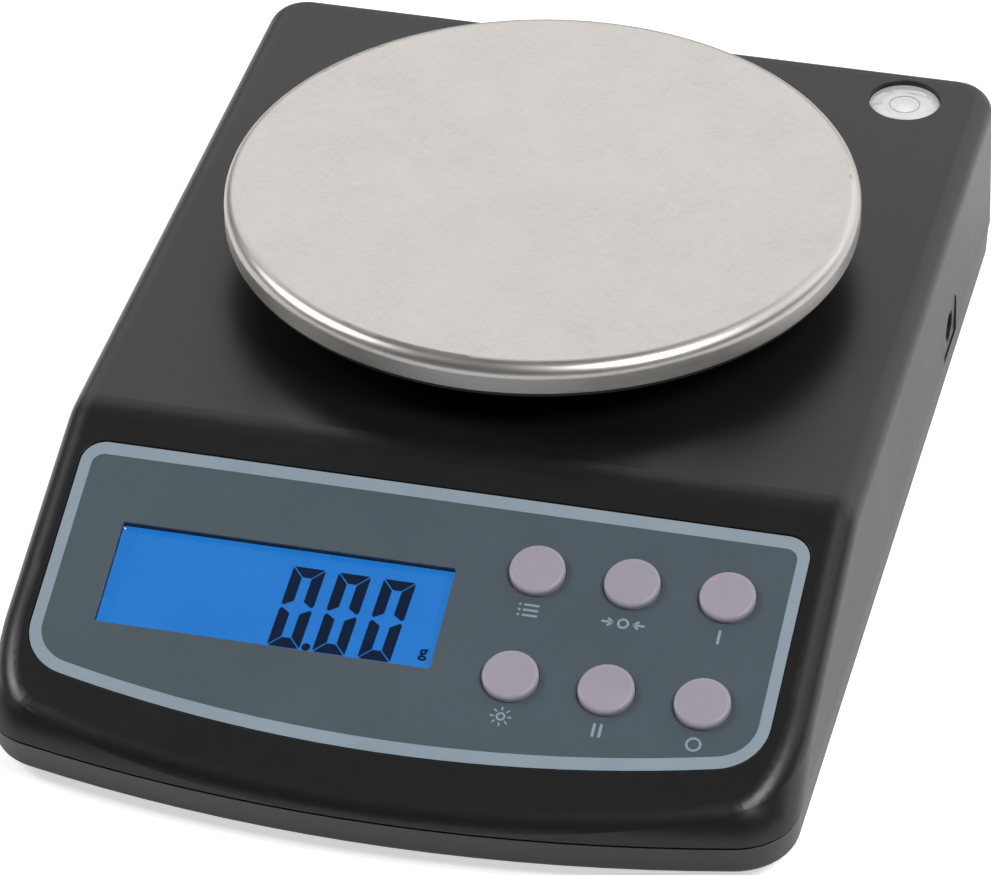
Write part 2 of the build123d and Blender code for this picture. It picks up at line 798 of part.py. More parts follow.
# ---------------------------------------------------------------- load cell and carrier
with BuildPart() as carrier_post:
    with BuildSketch(Plane.XY.offset(carrier_top)):
        with Locations((0, pan_centre_y)):
            Circle(post_radius)
    extrude(amount=post_top - carrier_top)
    with BuildSketch(Plane.XY.offset(carrier_top)):
        with Locations((0, pan_centre_y)):
            with GridLocations(post_radius + 2 * case_screw_radius, 0, 2, 1):
                Circle(case_screw_radius + screw_gap)
    extrude(amount=post_radius / 2, mode=Mode.SUBTRACT)
save(carrier_post.part, "carrier_post")

carrier_middle_y = cell_front_y + carrier_length / 2
with BuildPart() as carrier_plate:
    with BuildSketch(Plane.XY.offset(carrier_base)):
        with Locations((0, carrier_middle_y)):
            RectangleRounded(2 * carrier_plate_half_width, carrier_length, case_screw_head_radius)
        with Locations((0, pan_centre_y)):
            with GridLocations(post_radius + 2 * case_screw_radius, 0, 2, 1):
                Circle(case_screw_radius + screw_gap, mode=Mode.SUBTRACT)
        with Locations((0, cell_free_y)):
            with GridLocations(0, cell_screw_spacing, 1, 2):
                Circle(cell_screw_radius + screw_gap, mode=Mode.SUBTRACT)
    extrude(amount=carrier_plate_thickness)
save(carrier_plate.part, "carrier_plate")


def cell_plate(centre_y, base):
    """A thin plate between one end of the load cell and what it is screwed to."""
    with BuildPart() as plate:
        with BuildSketch(Plane.XY.offset(base)):
            with Locations((0, centre_y)):
                Rectangle(cell_section, cell_pad_length)
                with GridLocations(0, cell_screw_spacing, 1, 2):
                    Circle(cell_screw_radius + screw_gap, mode=Mode.SUBTRACT)
        extrude(amount=cell_plate_thickness)
    return plate.part


save(cell_plate(cell_free_y, cell_top), "carrier_spacer")
save(cell_plate(cell_fixed_y, cell_tower_top), "cell_spacer")

with BuildPart() as carrier_screws:
    with BuildSketch(Plane.XY.offset(cell_base + cell_section / 2)):
        with Locations((0, cell_free_y)):
            with GridLocations(0, cell_screw_spacing, 1, 2):
                Circle(cell_screw_radius)
    extrude(amount=carrier_top - cell_base - cell_section / 2)
    with BuildSketch(Plane.XY.offset(carrier_top)):
        with Locations((0, cell_free_y)):
            with GridLocations(0, cell_screw_spacing, 1, 2):
                Circle(cell_screw_head_radius)
    extrude(amount=cell_screw_head_height)
save(carrier_screws.part, "carrier_screws")

with BuildPart() as post_screws:
    with BuildSketch(Plane.XY.offset(carrier_base)):
        with Locations((0, pan_centre_y)):
            with GridLocations(post_radius + 2 * case_screw_radius, 0, 2, 1):
                Circle(case_screw_radius)
    extrude(amount=carrier_plate_thickness + post_radius / 2 - screw_gap)
save(post_screws.part, "post_screws")

cell_middle_z = cell_base + cell_section / 2
with BuildPart() as load_cell:
    with BuildSketch(Plane.XY.offset(cell_base)):
        with Locations((0, pan_centre_y)):
            Rectangle(cell_section, cell_length)
        with Locations((0, cell_free_y), (0, cell_fixed_y)):
            with GridLocations(0, cell_screw_spacing, 1, 2):
                Circle(cell_screw_radius + screw_gap, mode=Mode.SUBTRACT)
    extrude(amount=cell_section)
    with BuildSketch(Plane.YZ):
        with Locations((pan_centre_y, cell_middle_z)):
            Rectangle(2 * cell_hole_spread, cell_slot)
            with GridLocations(2 * cell_hole_spread, 0, 2, 1):
                Circle(cell_hole_radius)
    extrude(amount=cell_section, both=True, mode=Mode.SUBTRACT)
save(load_cell.part, "load_cell")

with BuildPart() as strain_gauge_cover:
    with BuildSketch(Plane.YZ.offset(-cell_section / 2)):
        with Locations((pan_centre_y, cell_middle_z)):
            RectangleRounded(3 * cell_hole_spread, cell_section - cell_slot, cell_slot)
    extrude(amount=-gauge_cover_thickness)
save(strain_gauge_cover.part, "strain_gauge_cover")

with BuildPart() as cell_screws:
    with BuildSketch(Plane.XY.offset(case_underside)):
        with Locations((0, cell_fixed_y)):
            with GridLocations(0, cell_screw_spacing, 1, 2):
                Circle(cell_screw_head_radius)
    extrude(amount=cell_screw_head_height)
    with BuildSketch(Plane.XY.offset(case_underside)):
        with Locations((0, cell_fixed_y)):
            with GridLocations(0, cell_screw_spacing, 1, 2):
                Circle(cell_screw_radius)
    extrude(amount=cell_middle_z - case_underside)
save(cell_screws.part, "cell_screws")

with BuildPart() as overload_stop:
    with BuildSketch(Plane.XY.offset(case_underside)):
        with Locations((0, cell_free_y)):
            Circle(stop_screw_radius)
    extrude(amount=cell_base - stop_gap - case_underside)
save(overload_stop.part, "overload_stop")

# ---------------------------------------------------------------- batteries and contacts


def battery_row_places():
    """Each battery row: its place across the bay and the way its batteries point."""
    return [(battery_row_y + row * battery_pitch, 1 - 2 * (row % 2)) for row in range(battery_rows)]


with BuildPart() as batteries:
    for row_y, way in battery_row_places():
        for place in range(2):
            start = -battery_row / 2 + battery_spring_length + place * battery_cell
            with BuildSketch(Plane(origin=(way * start, row_y, battery_axis_z), z_dir=(way, 0, 0))):
                Circle(battery_radius)
            extrude(amount=battery_body - stack_gap)
            with BuildSketch(Plane(origin=(way * start, row_y, battery_axis_z), z_dir=(way, 0, 0))):
                Circle(battery_nub_radius)
            extrude(amount=battery_cell - stack_gap)
save(batteries.part, "batteries")

contact_place = battery_row / 2 + contact_thickness / 2
with BuildPart() as battery_contacts:
    for row_y, way in battery_row_places():
        with Locations(
            (-contact_place, row_y, cell_floor + contact_height / 2 + stack_gap),
            (contact_place, row_y, cell_floor + contact_height / 2 + stack_gap),
        ):
            Box(contact_thickness, 2 * contact_half_width, contact_height)
save(battery_contacts.part, "battery_contacts")


def contact_spring(row_y, way):
    """The coiled spring that presses on a row's first battery."""
    start = Plane(origin=(-way * battery_row / 2, row_y, battery_axis_z), z_dir=(way, 0, 0))
    height = battery_spring_length - 3 * battery_spring_wire
    with BuildPart() as spring:
        with BuildLine(start.offset(1.5 * battery_spring_wire)) as coil:
            Helix(height / battery_spring_turns, height, battery_spring_radius, direction=start.z_dir)
        with BuildSketch(Plane(origin=coil.line @ 0, z_dir=coil.line % 0)):
            Circle(battery_spring_wire)
        sweep(path=coil.line, is_frenet=True)
    return spring.part


with BuildPart() as battery_springs:
    for row_y, way in battery_row_places():
        add(contact_spring(row_y, way))
save(battery_springs.part, "battery_springs")

# ---------------------------------------------------------------- fasteners and feet
with BuildPart() as case_screws:
    with BuildSketch(Plane.XY.offset(case_underside)):
        with Locations(*case_screw_places):
            Circle(case_screw_head_radius)
    extrude(amount=case_screw_head_height)
    with BuildSketch(Plane.XY.offset(case_underside)):
        with Locations(*case_screw_places):
            Circle(case_screw_radius)
    extrude(amount=case_screw_length)
save(case_screws.part, "case_screws")


def foot_knob(place):
    """A levelling foot: a knurled disc with a threaded stud."""
    with BuildPart() as knob:
        with BuildSketch(Plane.XY.offset(foot_pad_thickness)):
            with Locations(place):
                Circle(foot_radius)
        extrude(amount=foot_thickness)
        with BuildSketch(Plane.XY.offset(foot_pad_thickness)):
            with Locations(place):
                Circle(foot_stud_radius)
        extrude(amount=foot_thickness + foot_stud_length)
    return knob.part


def foot_pad(place):
    """The rubber pad under a levelling foot."""
    with BuildPart() as pad:
        with BuildSketch(Plane.XY):
            with Locations(place):
                Circle(foot_pad_radius)
        extrude(amount=foot_pad_thickness)
    return pad.part


for foot_name, foot_place in foot_places.items():
    save(foot_knob(foot_place), f"{foot_name}_foot")
    save(foot_pad(foot_place), f"{foot_name}_foot_pad")

# ---------------------------------------------------------------- round bubble level
level_inner_radius = level_body_radius - level_cup_wall
level_lens_base = level_lens_top - level_lens_thickness

with BuildPart() as level_cup:
    with BuildSketch(Plane.XY.offset(level_base_z)):
        with Locations((level_x, level_y)):
            Circle(level_body_radius)
    extrude(amount=level_height - level_lens_thickness)
    with BuildSketch(Plane.XY.offset(level_flange_top - level_flange_thickness)):
        with Locations((level_x, level_y)):
            Circle(level_flange_radius)
    extrude(amount=level_flange_thickness)
    with BuildSketch(Plane.XY.offset(level_base_z + level_cup_wall)):
        with Locations((level_x, level_y)):
            Circle(level_inner_radius)
    extrude(amount=level_height, mode=Mode.SUBTRACT)
save(level_cup.part, "level_cup")

with BuildPart() as level_lens:
    with BuildSketch(Plane.XY.offset(level_lens_base)):
        with Locations((level_x, level_y)):
            Circle(level_body_radius)
    extrude(amount=level_lens_thickness)
save(level_lens.part, "level_lens")

with BuildPart() as level_bubble:
    with BuildSketch(Plane.XY.offset(level_lens_base - level_bubble_radius / 2)):
        with Locations((level_x, level_y)):
            Circle(level_bubble_radius)
    extrude(amount=level_bubble_radius / 2)
    fillet(level_bubble.faces().sort_by(Axis.Z)[0].edges(), level_bubble_radius / 3)
save(level_bubble.part, "level_bubble")

with BuildPart() as level_fluid:
    with BuildSketch(Plane.XY.offset(level_base_z + level_cup_wall)):
        with Locations((level_x, level_y)):
            Circle(level_inner_radius)
    extrude(amount=level_lens_base - level_base_z - level_cup_wall)
    add(level_bubble.part, mode=Mode.SUBTRACT)
save(level_fluid.part, "level_fluid")

# ---------------------------------------------------------------- power inlet
jack_face_x = case_half_width - jack_pocket_depth - wall - jack_gap

with BuildPart() as dc_jack:
    with BuildSketch(Plane.YZ.offset(jack_face_x)):
        with Locations((jack_y, jack_z)):
            Rectangle(jack_body_width, jack_body_height)
    extrude(amount=-jack_body_length)
    with BuildSketch(Plane.YZ.offset(jack_face_x)):
        with Locations((jack_y, jack_z)):
            Circle(jack_barrel_radius)
    extrude(amount=wall)
    with BuildSketch(Plane.YZ.offset(jack_face_x + wall)):
        with Locations((jack_y, jack_z)):
            Circle(jack_bore_radius)
    extrude(amount=-jack_body_length, mode=Mode.SUBTRACT)
save(dc_jack.part, "dc_jack")

with BuildPart() as dc_jack_pin:
    with BuildSketch(Plane.YZ.offset(jack_face_x + wall - jack_body_length)):
        with Locations((jack_y, jack_z)):
            Circle(jack_pin_radius)
    extrude(amount=jack_body_length - jack_bore_radius)
    fillet(dc_jack_pin.faces().sort_by(Axis.X)[-1].edges(), jack_pin_radius / 2)
save(dc_jack_pin.part, "dc_jack_pin")

# ---------------------------------------------------------------- leads inside the casing


def socket_mouth(chip_name, reach):
    """A point out of the upper side of a lead socket on the circuit board, at a reach from it."""
    for name, chip_u, chip_v, chip_width, chip_length, chip_height in chips:
        if name == chip_name:
            side = (chip_u, chip_v + chip_length / 2 + reach, board_underside - chip_height / 2)
            return tuple(panel.from_local_coords(side))


def lead(points, radius):
    """A round lead along straight runs joined by arcs that are as large as the runs allow."""
    spots = [Vector(*point) for point in points]
    runs = [after - before for before, after in zip(spots, spots[1:])]
    bends = []
    for before, after in zip(runs, runs[1:]):
        turn = radians(before.get_angle(after))
        bends.append(0.45 * min(before.length, after.length) / tan(turn / 2))
    with BuildPart() as tube:
        with BuildLine() as route:
            FilletPolyline(*spots, radius=bends)
        with BuildSketch(Plane(origin=route.line @ 0, z_dir=route.line % 0)):
            Circle(radius)
        sweep(path=route.line, transition=Transition.ROUND)
    return tube.part


gauge_exit = (-cell_section / 2 - gauge_cover_thickness, pan_centre_y - cell_hole_spread, cell_middle_z)
socket_run = 6.0
cell_route = (
    gauge_exit,
    (gauge_exit[0] - 6, gauge_exit[1], gauge_exit[2]),
    (gauge_exit[0] - 10, gauge_exit[1] - 8, gauge_exit[2] + 1),
    (gauge_exit[0] - 10, gauge_exit[1] - 22, gauge_exit[2] + 3),
    (gauge_exit[0] - 5, gauge_exit[1] - 40, gauge_exit[2] + 5),
    (-4, -33, cell_top),
    socket_mouth("cell_socket", socket_run),
    socket_mouth("cell_socket", 0),
)
save(lead(cell_route, cell_lead_radius), "cell_lead")

contact_top = cell_floor + contact_height + stack_gap
battery_route = (
    (-contact_place, battery_row_y, contact_top),
    (-contact_place, battery_row_y, contact_top + 5),
    (5 - contact_place, battery_row_y + 2, contact_top + 10),
    socket_mouth("battery_socket", socket_run),
    socket_mouth("battery_socket", 0),
)
save(lead(battery_route, battery_lead_radius), "battery_lead")

jack_back_x = jack_face_x - jack_body_length
jack_route = (
    (jack_back_x, jack_y, jack_z),
    (jack_back_x - 7, jack_y, jack_z),
    (jack_back_x - 12, jack_y - 7, jack_z + 1),
    (jack_back_x - 15, jack_y - 19, jack_z + 3),
    (jack_back_x - 17, jack_y - 37, jack_z + 6),
    (jack_back_x - 18, jack_y - 56, jack_z + 9),
    (jack_back_x - 18, jack_y - 74, jack_z + 11),
    (jack_back_x - 17, jack_y - 89, jack_z + 12),
    socket_mouth("jack_socket", socket_run),
    socket_mouth("jack_socket", 0),
)
save(lead(jack_route, jack_lead_radius), "jack_lead")
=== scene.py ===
import bmesh
import bpy
import json
from math import atan2, cos, hypot, pi, radians, sin, tan
from mathutils import Matrix, Quaternion, Vector


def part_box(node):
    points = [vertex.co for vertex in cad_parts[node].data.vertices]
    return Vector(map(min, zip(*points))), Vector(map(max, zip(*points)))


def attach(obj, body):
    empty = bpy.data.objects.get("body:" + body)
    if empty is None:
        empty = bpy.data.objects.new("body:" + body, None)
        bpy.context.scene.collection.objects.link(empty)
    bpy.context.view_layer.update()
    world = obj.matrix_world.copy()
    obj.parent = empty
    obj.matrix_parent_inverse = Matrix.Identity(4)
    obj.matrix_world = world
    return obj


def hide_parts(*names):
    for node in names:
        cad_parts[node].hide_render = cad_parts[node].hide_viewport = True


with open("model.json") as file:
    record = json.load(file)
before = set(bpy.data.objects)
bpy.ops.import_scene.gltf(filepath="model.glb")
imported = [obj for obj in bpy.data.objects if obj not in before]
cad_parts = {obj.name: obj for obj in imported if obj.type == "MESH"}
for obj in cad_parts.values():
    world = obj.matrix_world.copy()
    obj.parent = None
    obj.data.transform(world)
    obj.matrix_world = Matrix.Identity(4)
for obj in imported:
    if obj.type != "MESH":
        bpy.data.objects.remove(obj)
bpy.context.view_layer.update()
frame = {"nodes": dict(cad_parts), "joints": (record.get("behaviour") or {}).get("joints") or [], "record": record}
NODES = frame["nodes"]
MM = 0.001
WELD = 0.002 * MM

# ---------------------------------------------------------------- the keypad panel's own directions
# Across the panel, up its slope and out of its face, read from a button's travel.
press = next(joint for joint in frame["joints"] if joint["name"] == "tare_press")
panel_out = Vector(press["axis"]).normalized()
panel_across = Vector((1, 0, 0))
panel_up = panel_out.cross(panel_across)
PANEL = Matrix((panel_across, panel_up, panel_out)).transposed().to_4x4()


def panel_span(node):
    """The lowest and highest places of a CAD node across, up and out of the panel."""
    spots = [PANEL.inverted() @ point.co for point in NODES[node].data.vertices]
    low = Vector(min(spot[way] for spot in spots) for way in range(3))
    high = Vector(max(spot[way] for spot in spots) for way in range(3))
    return low, high


def middle(node):
    """The middle of a CAD node's box."""
    low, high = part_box(node)
    return (low + high) / 2


def tone(red, green, blue):
    """A colour from its 0 to 255 screen values, as the linear values that shaders take."""
    linear = [
        part / 12.92 if part <= 0.04045 else ((part + 0.055) / 1.055) ** 2.4
        for part in (red / 255, green / 255, blue / 255)
    ]
    return (*linear, 1.0)


# ---------------------------------------------------------------- shader groups shared by the finishes
def add_node(tree, kind, **settings):
    """Adds one shader node and sets its own properties."""
    made = tree.nodes.new(kind)
    for name, value in settings.items():
        setattr(made, name, value)
    return made


def calculate(tree, operation, first, second=0.5, clamp=False):
    """A math node on two values, each a socket or a number; returns its result."""
    made = add_node(tree, "ShaderNodeMath", operation=operation, use_clamp=clamp)
    for socket, value in zip(made.inputs, (first, second)):
        if isinstance(value, bpy.types.NodeSocket):
            tree.links.new(value, socket)
        else:
            socket.default_value = value
    return made.outputs[0]


def stretch(tree, place, amounts):
    """Multiplies a place by three amounts, to stretch the pattern that reads it."""
    made = add_node(tree, "ShaderNodeVectorMath", operation="MULTIPLY")
    tree.links.new(place, made.inputs[0])
    made.inputs[1].default_value = amounts
    return made.outputs[0]


def cloud(tree, place, scale, detail=2.0, coarse=0.5):
    """A soft noise over a place; the scale is a number or a socket."""
    made = add_node(tree, "ShaderNodeTexNoise")
    tree.links.new(place, made.inputs["Vector"])
    if isinstance(scale, bpy.types.NodeSocket):
        tree.links.new(scale, made.inputs["Scale"])
    else:
        made.inputs["Scale"].default_value = scale
    made.inputs["Detail"].default_value = detail
    made.inputs["Roughness"].default_value = coarse
    return made.outputs["Fac"]


def spread_out(tree, value, low, high, to_low=0.0, to_high=1.0):
    """Maps a value's span onto another, clamped."""
    made = add_node(tree, "ShaderNodeMapRange", clamp=True)
    tree.links.new(value, made.inputs["Value"])
    for name, number in (("From Min", low), ("From Max", high), ("To Min", to_low), ("To Max", to_high)):
        made.inputs[name].default_value = number
    return made.outputs["Result"]


def blend_colours(tree, share, first, second):
    """Mixes two colours by a share; each is a socket or a colour."""
    made = add_node(tree, "ShaderNodeMix", data_type="RGBA")
    tree.links.new(share, made.inputs[0])
    for socket, value in ((made.inputs[6], first), (made.inputs[7], second)):
        if isinstance(value, bpy.types.NodeSocket):
            tree.links.new(value, socket)
        else:
            socket.default_value = value
    return made.outputs[2]


def start_group(name, inputs, outputs):
    """A new shader group with its named sockets; returns its tree, its inputs and its outputs."""
    tree = bpy.data.node_groups.new(name, "ShaderNodeTree")
    for label, kind in inputs:
        tree.interface.new_socket(label, in_out="INPUT", socket_type=kind)
    for label, kind in outputs:
        tree.interface.new_socket(label, in_out="OUTPUT", socket_type=kind)
    start = tree.nodes.new("NodeGroupInput")
    end = tree.nodes.new("NodeGroupOutput")
    return tree, start.outputs, end.inputs


VECTOR, FLOAT, COLOUR = "NodeSocketVector", "NodeSocketFloat", "NodeSocketColor"


def make_tone_drift():
    """Colour that drifts slowly between two tones, with a faint fine fleck."""
    sockets = [("Place", VECTOR), ("Tone", COLOUR), ("Other tone", COLOUR), ("Scale", FLOAT)]
    tree, given, out = start_group("tone_drift", sockets, [("Colour", COLOUR)])
    slow = cloud(tree, given["Place"], given["Scale"], detail=3.0, coarse=0.6)
    fleck_scale = calculate(tree, "MULTIPLY", given["Scale"], 22.0)
    fleck = cloud(tree, given["Place"], fleck_scale, detail=1.0)
    slow_share = calculate(tree, "MULTIPLY", slow, 0.75)
    fleck_share = calculate(tree, "MULTIPLY", fleck, 0.25)
    both = calculate(tree, "ADD", slow_share, fleck_share)
    share = spread_out(tree, both, 0.34, 0.66)
    tree.links.new(blend_colours(tree, share, given["Tone"], given["Other tone"]), out["Colour"])
    return tree


def make_moulded_grain():
    """The height of a fine moulded or sandblasted grain."""
    inputs = [("Place", VECTOR), ("Scale", FLOAT)]
    tree, given, out = start_group("moulded_grain", inputs, [("Height", FLOAT)])
    tree.links.new(cloud(tree, given["Place"], given["Scale"], detail=3.0, coarse=0.65), out["Height"])
    return tree


def make_handling():
    """Roughness with broad smudges and a fine unevenness from handling and wiping."""
    sockets = [("Place", VECTOR), ("Roughness", FLOAT), ("Spread", FLOAT)]
    tree, given, out = start_group("handling", sockets, [("Roughness", FLOAT)])
    broad = cloud(tree, given["Place"], 26.0, detail=2.0)
    fine = cloud(tree, given["Place"], 420.0, detail=2.0)
    both = calculate(tree, "SUBTRACT", calculate(tree, "ADD", broad, fine), 1.0)
    change = calculate(tree, "MULTIPLY", both, given["Spread"])
    tree.links.new(calculate(tree, "ADD", given["Roughness"], change, clamp=True), out["Roughness"])
    return tree


def make_edge_sheen():
    """A mask of the edges for a painted sheen, lighter edges standing in for light caught on them, broken up by a
    noise.
    """
    sockets = [("Place", VECTOR), ("Width", FLOAT), ("Amount", FLOAT)]
    tree, given, out = start_group("painted_edge_sheen", sockets, [("Mask", FLOAT)])
    rounded = add_node(tree, "ShaderNodeBevel", samples=4)
    tree.links.new(given["Width"], rounded.inputs["Radius"])
    flat = add_node(tree, "ShaderNodeNewGeometry")
    likeness = add_node(tree, "ShaderNodeVectorMath", operation="DOT_PRODUCT")
    tree.links.new(rounded.outputs["Normal"], likeness.inputs[0])
    tree.links.new(flat.outputs["Normal"], likeness.inputs[1])
    edge = spread_out(tree, likeness.outputs["Value"], 0.995, 0.86)
    patches = spread_out(tree, cloud(tree, given["Place"], 700.0, detail=4.0, coarse=0.7), 0.42, 0.62)
    # Where the painted sheen lies: the rounded edges, thinned out by the noise patches.
    painted_sheen = calculate(tree, "MULTIPLY", edge, patches)
    tree.links.new(calculate(tree, "MULTIPLY", painted_sheen, given["Amount"], clamp=True), out["Mask"])
    return tree


def make_crossed_brush():
    """Fine brushing with no one direction: three sets of short strokes laid over each other."""
    sockets = [("Place", VECTOR), ("Scale", FLOAT)]
    tree, given, out = start_group("crossed_brush", sockets, [("Strokes", FLOAT)])
    total = None
    for angle in (14, 71, 128):
        turned = add_node(tree, "ShaderNodeVectorRotate", rotation_type="Z_AXIS")
        turned.inputs["Angle"].default_value = radians(angle)
        tree.links.new(given["Place"], turned.inputs["Vector"])
        strokes = cloud(tree, stretch(tree, turned.outputs[0], (1.0, 0.07, 1.0)), given["Scale"], detail=2.0)
        total = strokes if total is None else calculate(tree, "ADD", total, strokes)
    tree.links.new(calculate(tree, "DIVIDE", total, 3.0), out["Strokes"])
    return tree


def make_turned_brush():
    """Brushing that runs round an upright axis through the place's own middle."""
    sockets = [("Place", VECTOR), ("Fineness", FLOAT)]
    tree, given, out = start_group("turned_brush", sockets, [("Strokes", FLOAT), ("Radius", FLOAT)])
    parts = add_node(tree, "ShaderNodeSeparateXYZ")
    tree.links.new(given["Place"], parts.inputs[0])
    across, along, up = parts.outputs
    across_squared = calculate(tree, "MULTIPLY", across, across)
    along_squared = calculate(tree, "MULTIPLY", along, along)
    squares = calculate(tree, "ADD", across_squared, along_squared)
    radius = calculate(tree, "SQRT", squares)
    round_place = add_node(tree, "ShaderNodeCombineXYZ")
    depth = calculate(tree, "SUBTRACT", radius, up)
    tree.links.new(calculate(tree, "MULTIPLY", depth, given["Fineness"]), round_place.inputs[0])
    for source, socket in ((across, 1), (along, 2)):
        turn = calculate(tree, "DIVIDE", source, radius)
        tree.links.new(calculate(tree, "MULTIPLY", turn, 7.0), round_place.inputs[socket])
    tree.links.new(cloud(tree, round_place.outputs[0], 1.0, detail=3.0, coarse=0.7), out["Strokes"])
    tree.links.new(radius, out["Radius"])
    return tree


TONE_DRIFT = make_tone_drift()
MOULDED_GRAIN = make_moulded_grain()
HANDLING = make_handling()
EDGE_SHEEN = make_edge_sheen()
CROSSED_BRUSH = make_crossed_brush()
TURNED_BRUSH = make_turned_brush()


# ---------------------------------------------------------------- finishes
def use_group(tree, group, **values):
    """Places a shared group in a material and sets or joins its inputs."""
    made = add_node(tree, "ShaderNodeGroup", node_tree=group)
    for label, value in values.items():
        socket = made.inputs[label.replace("_", " ")]
        if isinstance(value, bpy.types.NodeSocket):
            tree.links.new(value, socket)
        else:
            socket.default_value = value
    return made.outputs


def start_finish(name, sockets):
    """A material with one Principled shader; returns it, its tree, the shader and the place."""
    made = bpy.data.materials.new(name)
    made.use_nodes = True
    tree = made.node_tree
    tree.nodes.clear()
    shader = tree.nodes.new("ShaderNodeBsdfPrincipled")
    output = tree.nodes.new("ShaderNodeOutputMaterial")
    tree.links.new(shader.outputs[0], output.inputs["Surface"])
    for label, value in sockets.items():
        shader.inputs[label].default_value = value
    place = tree.nodes.new("ShaderNodeTexCoord").outputs["Object"]
    return made, tree, shader, place


def drifting_tone(tree, place, look, usual_scale):
    """A look's two tones drifting into each other."""
    scale = look.get("drift", usual_scale)
    tones = {"Tone": look["tone"], "Other_tone": look["other"]}
    return use_group(tree, TONE_DRIFT, Place=place, Scale=scale, **tones)["Colour"]


def bump_from(tree, shader, height, depth, soft_edge=0.0):
    """Feeds a height to the shader's normal; a soft edge rounds sharp corners in the shading."""
    bump = add_node(tree, "ShaderNodeBump")
    bump.inputs["Strength"].default_value = 1.0
    bump.inputs["Distance"].default_value = depth
    tree.links.new(height, bump.inputs["Height"])
    if soft_edge:
        rounded = add_node(tree, "ShaderNodeBevel", samples=6)
        rounded.inputs["Radius"].default_value = soft_edge
        tree.links.new(rounded.outputs["Normal"], bump.inputs["Normal"])
    tree.links.new(bump.outputs["Normal"], shader.inputs["Normal"])


def make_moulded(name, look):
    """A moulded, painted or plated finish: drifting tone, grain, handling marks and a painted sheen on the edges.
    """
    made, tree, shader, place = start_finish(name, look.get("sockets", {}))
    colour = drifting_tone(tree, place, look, 45.0)
    # Painted sheen: the edges are lightened towards the look's paler edge tone, in place of light caught on them.
    sheen_amount = look.get("sheen_amount", 0.0)
    if sheen_amount:
        width = look.get("rub_width", 0.35) * MM
        mask = use_group(tree, EDGE_SHEEN, Place=place, Width=width, Amount=sheen_amount)["Mask"]
        colour = blend_colours(tree, mask, colour, look["painted_sheen"])
    tree.links.new(colour, shader.inputs["Base Color"])
    rough = use_group(tree, HANDLING, Place=place, Roughness=look["rough"], Spread=look.get("spread", 0.08))
    tree.links.new(rough["Roughness"], shader.inputs["Roughness"])
    grain = use_group(tree, MOULDED_GRAIN, Place=place, Scale=look.get("grain", 2600.0))["Height"]
    bump_from(tree, shader, grain, look.get("depth", 0.006) * MM, look.get("soft_edge", 0.0) * MM)
    return made


def make_clear(name, look):
    """A clear moulded or blown piece: glass-like, with faint wiping marks."""
    made, tree, shader, place = start_finish(name, look["sockets"])
    colour = drifting_tone(tree, place, look, 30.0)
    tree.links.new(colour, shader.inputs["Base Color"])
    rough = use_group(tree, HANDLING, Place=place, Roughness=look["rough"], Spread=look.get("spread", 0.02))
    tree.links.new(rough["Roughness"], shader.inputs["Roughness"])
    grain = use_group(tree, MOULDED_GRAIN, Place=place, Scale=160.0)["Height"]
    bump_from(tree, shader, grain, 0.004 * MM)
    return made


def make_lit(name, look):
    """A lit panel: a glow that drifts slightly in tone under a smooth face."""
    made, tree, shader, place = start_finish(name, look["sockets"])
    glow = drifting_tone(tree, place, look, 20.0)
    tree.links.new(glow, shader.inputs["Emission Color"])
    rough = use_group(tree, HANDLING, Place=place, Roughness=look["rough"], Spread=0.03)
    tree.links.new(rough["Roughness"], shader.inputs["Roughness"])
    grain = use_group(tree, MOULDED_GRAIN, Place=place, Scale=900.0)["Height"]
    bump_from(tree, shader, grain, 0.001 * MM)
    return made


def make_pan_steel(name):
    """Satin stainless sheet: crossed brushing on the flat, turned brushing round the rolled rim."""
    made, tree, shader, place = start_finish(name, {"Metallic": 1.0})
    low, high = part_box("weighing_pan")
    centred = add_node(tree, "ShaderNodeMapping")
    centred.inputs["Location"].default_value = (-(low.x + high.x) / 2, -(low.y + high.y) / 2, -high.z)
    tree.links.new(place, centred.inputs["Vector"])
    place = centred.outputs["Vector"]
    turned = use_group(tree, TURNED_BRUSH, Place=place, Fineness=5200.0)
    crossed = use_group(tree, CROSSED_BRUSH, Place=place, Scale=2300.0)["Strokes"]
    rim = spread_out(tree, turned["Radius"], (high.x - low.x) / 2 - 2.9 * MM, (high.x - low.x) / 2 - 2.3 * MM)
    strokes = add_node(tree, "ShaderNodeMix", data_type="FLOAT")
    tree.links.new(rim, strokes.inputs[0])
    tree.links.new(crossed, strokes.inputs[2])
    tree.links.new(turned["Strokes"], strokes.inputs[3])
    drift = use_group(
        tree, TONE_DRIFT, Place=place, Tone=tone(200, 195, 190), Other_tone=tone(190, 185, 180), Scale=60.0
    )["Colour"]
    shade = spread_out(tree, strokes.outputs[0], 0.36, 0.64)
    colour = blend_colours(tree, shade, drift, tone(208, 204, 200))
    tree.links.new(colour, shader.inputs["Base Color"])
    rough = use_group(tree, HANDLING, Place=place, Roughness=0.36, Spread=0.05)["Roughness"]
    fine = calculate(tree, "MULTIPLY", calculate(tree, "SUBTRACT", strokes.outputs[0], 0.5), 0.16)
    tree.links.new(calculate(tree, "ADD", rough, fine, clamp=True), shader.inputs["Roughness"])
    bump_from(tree, shader, strokes.outputs[0], 0.0035 * MM)
    return made


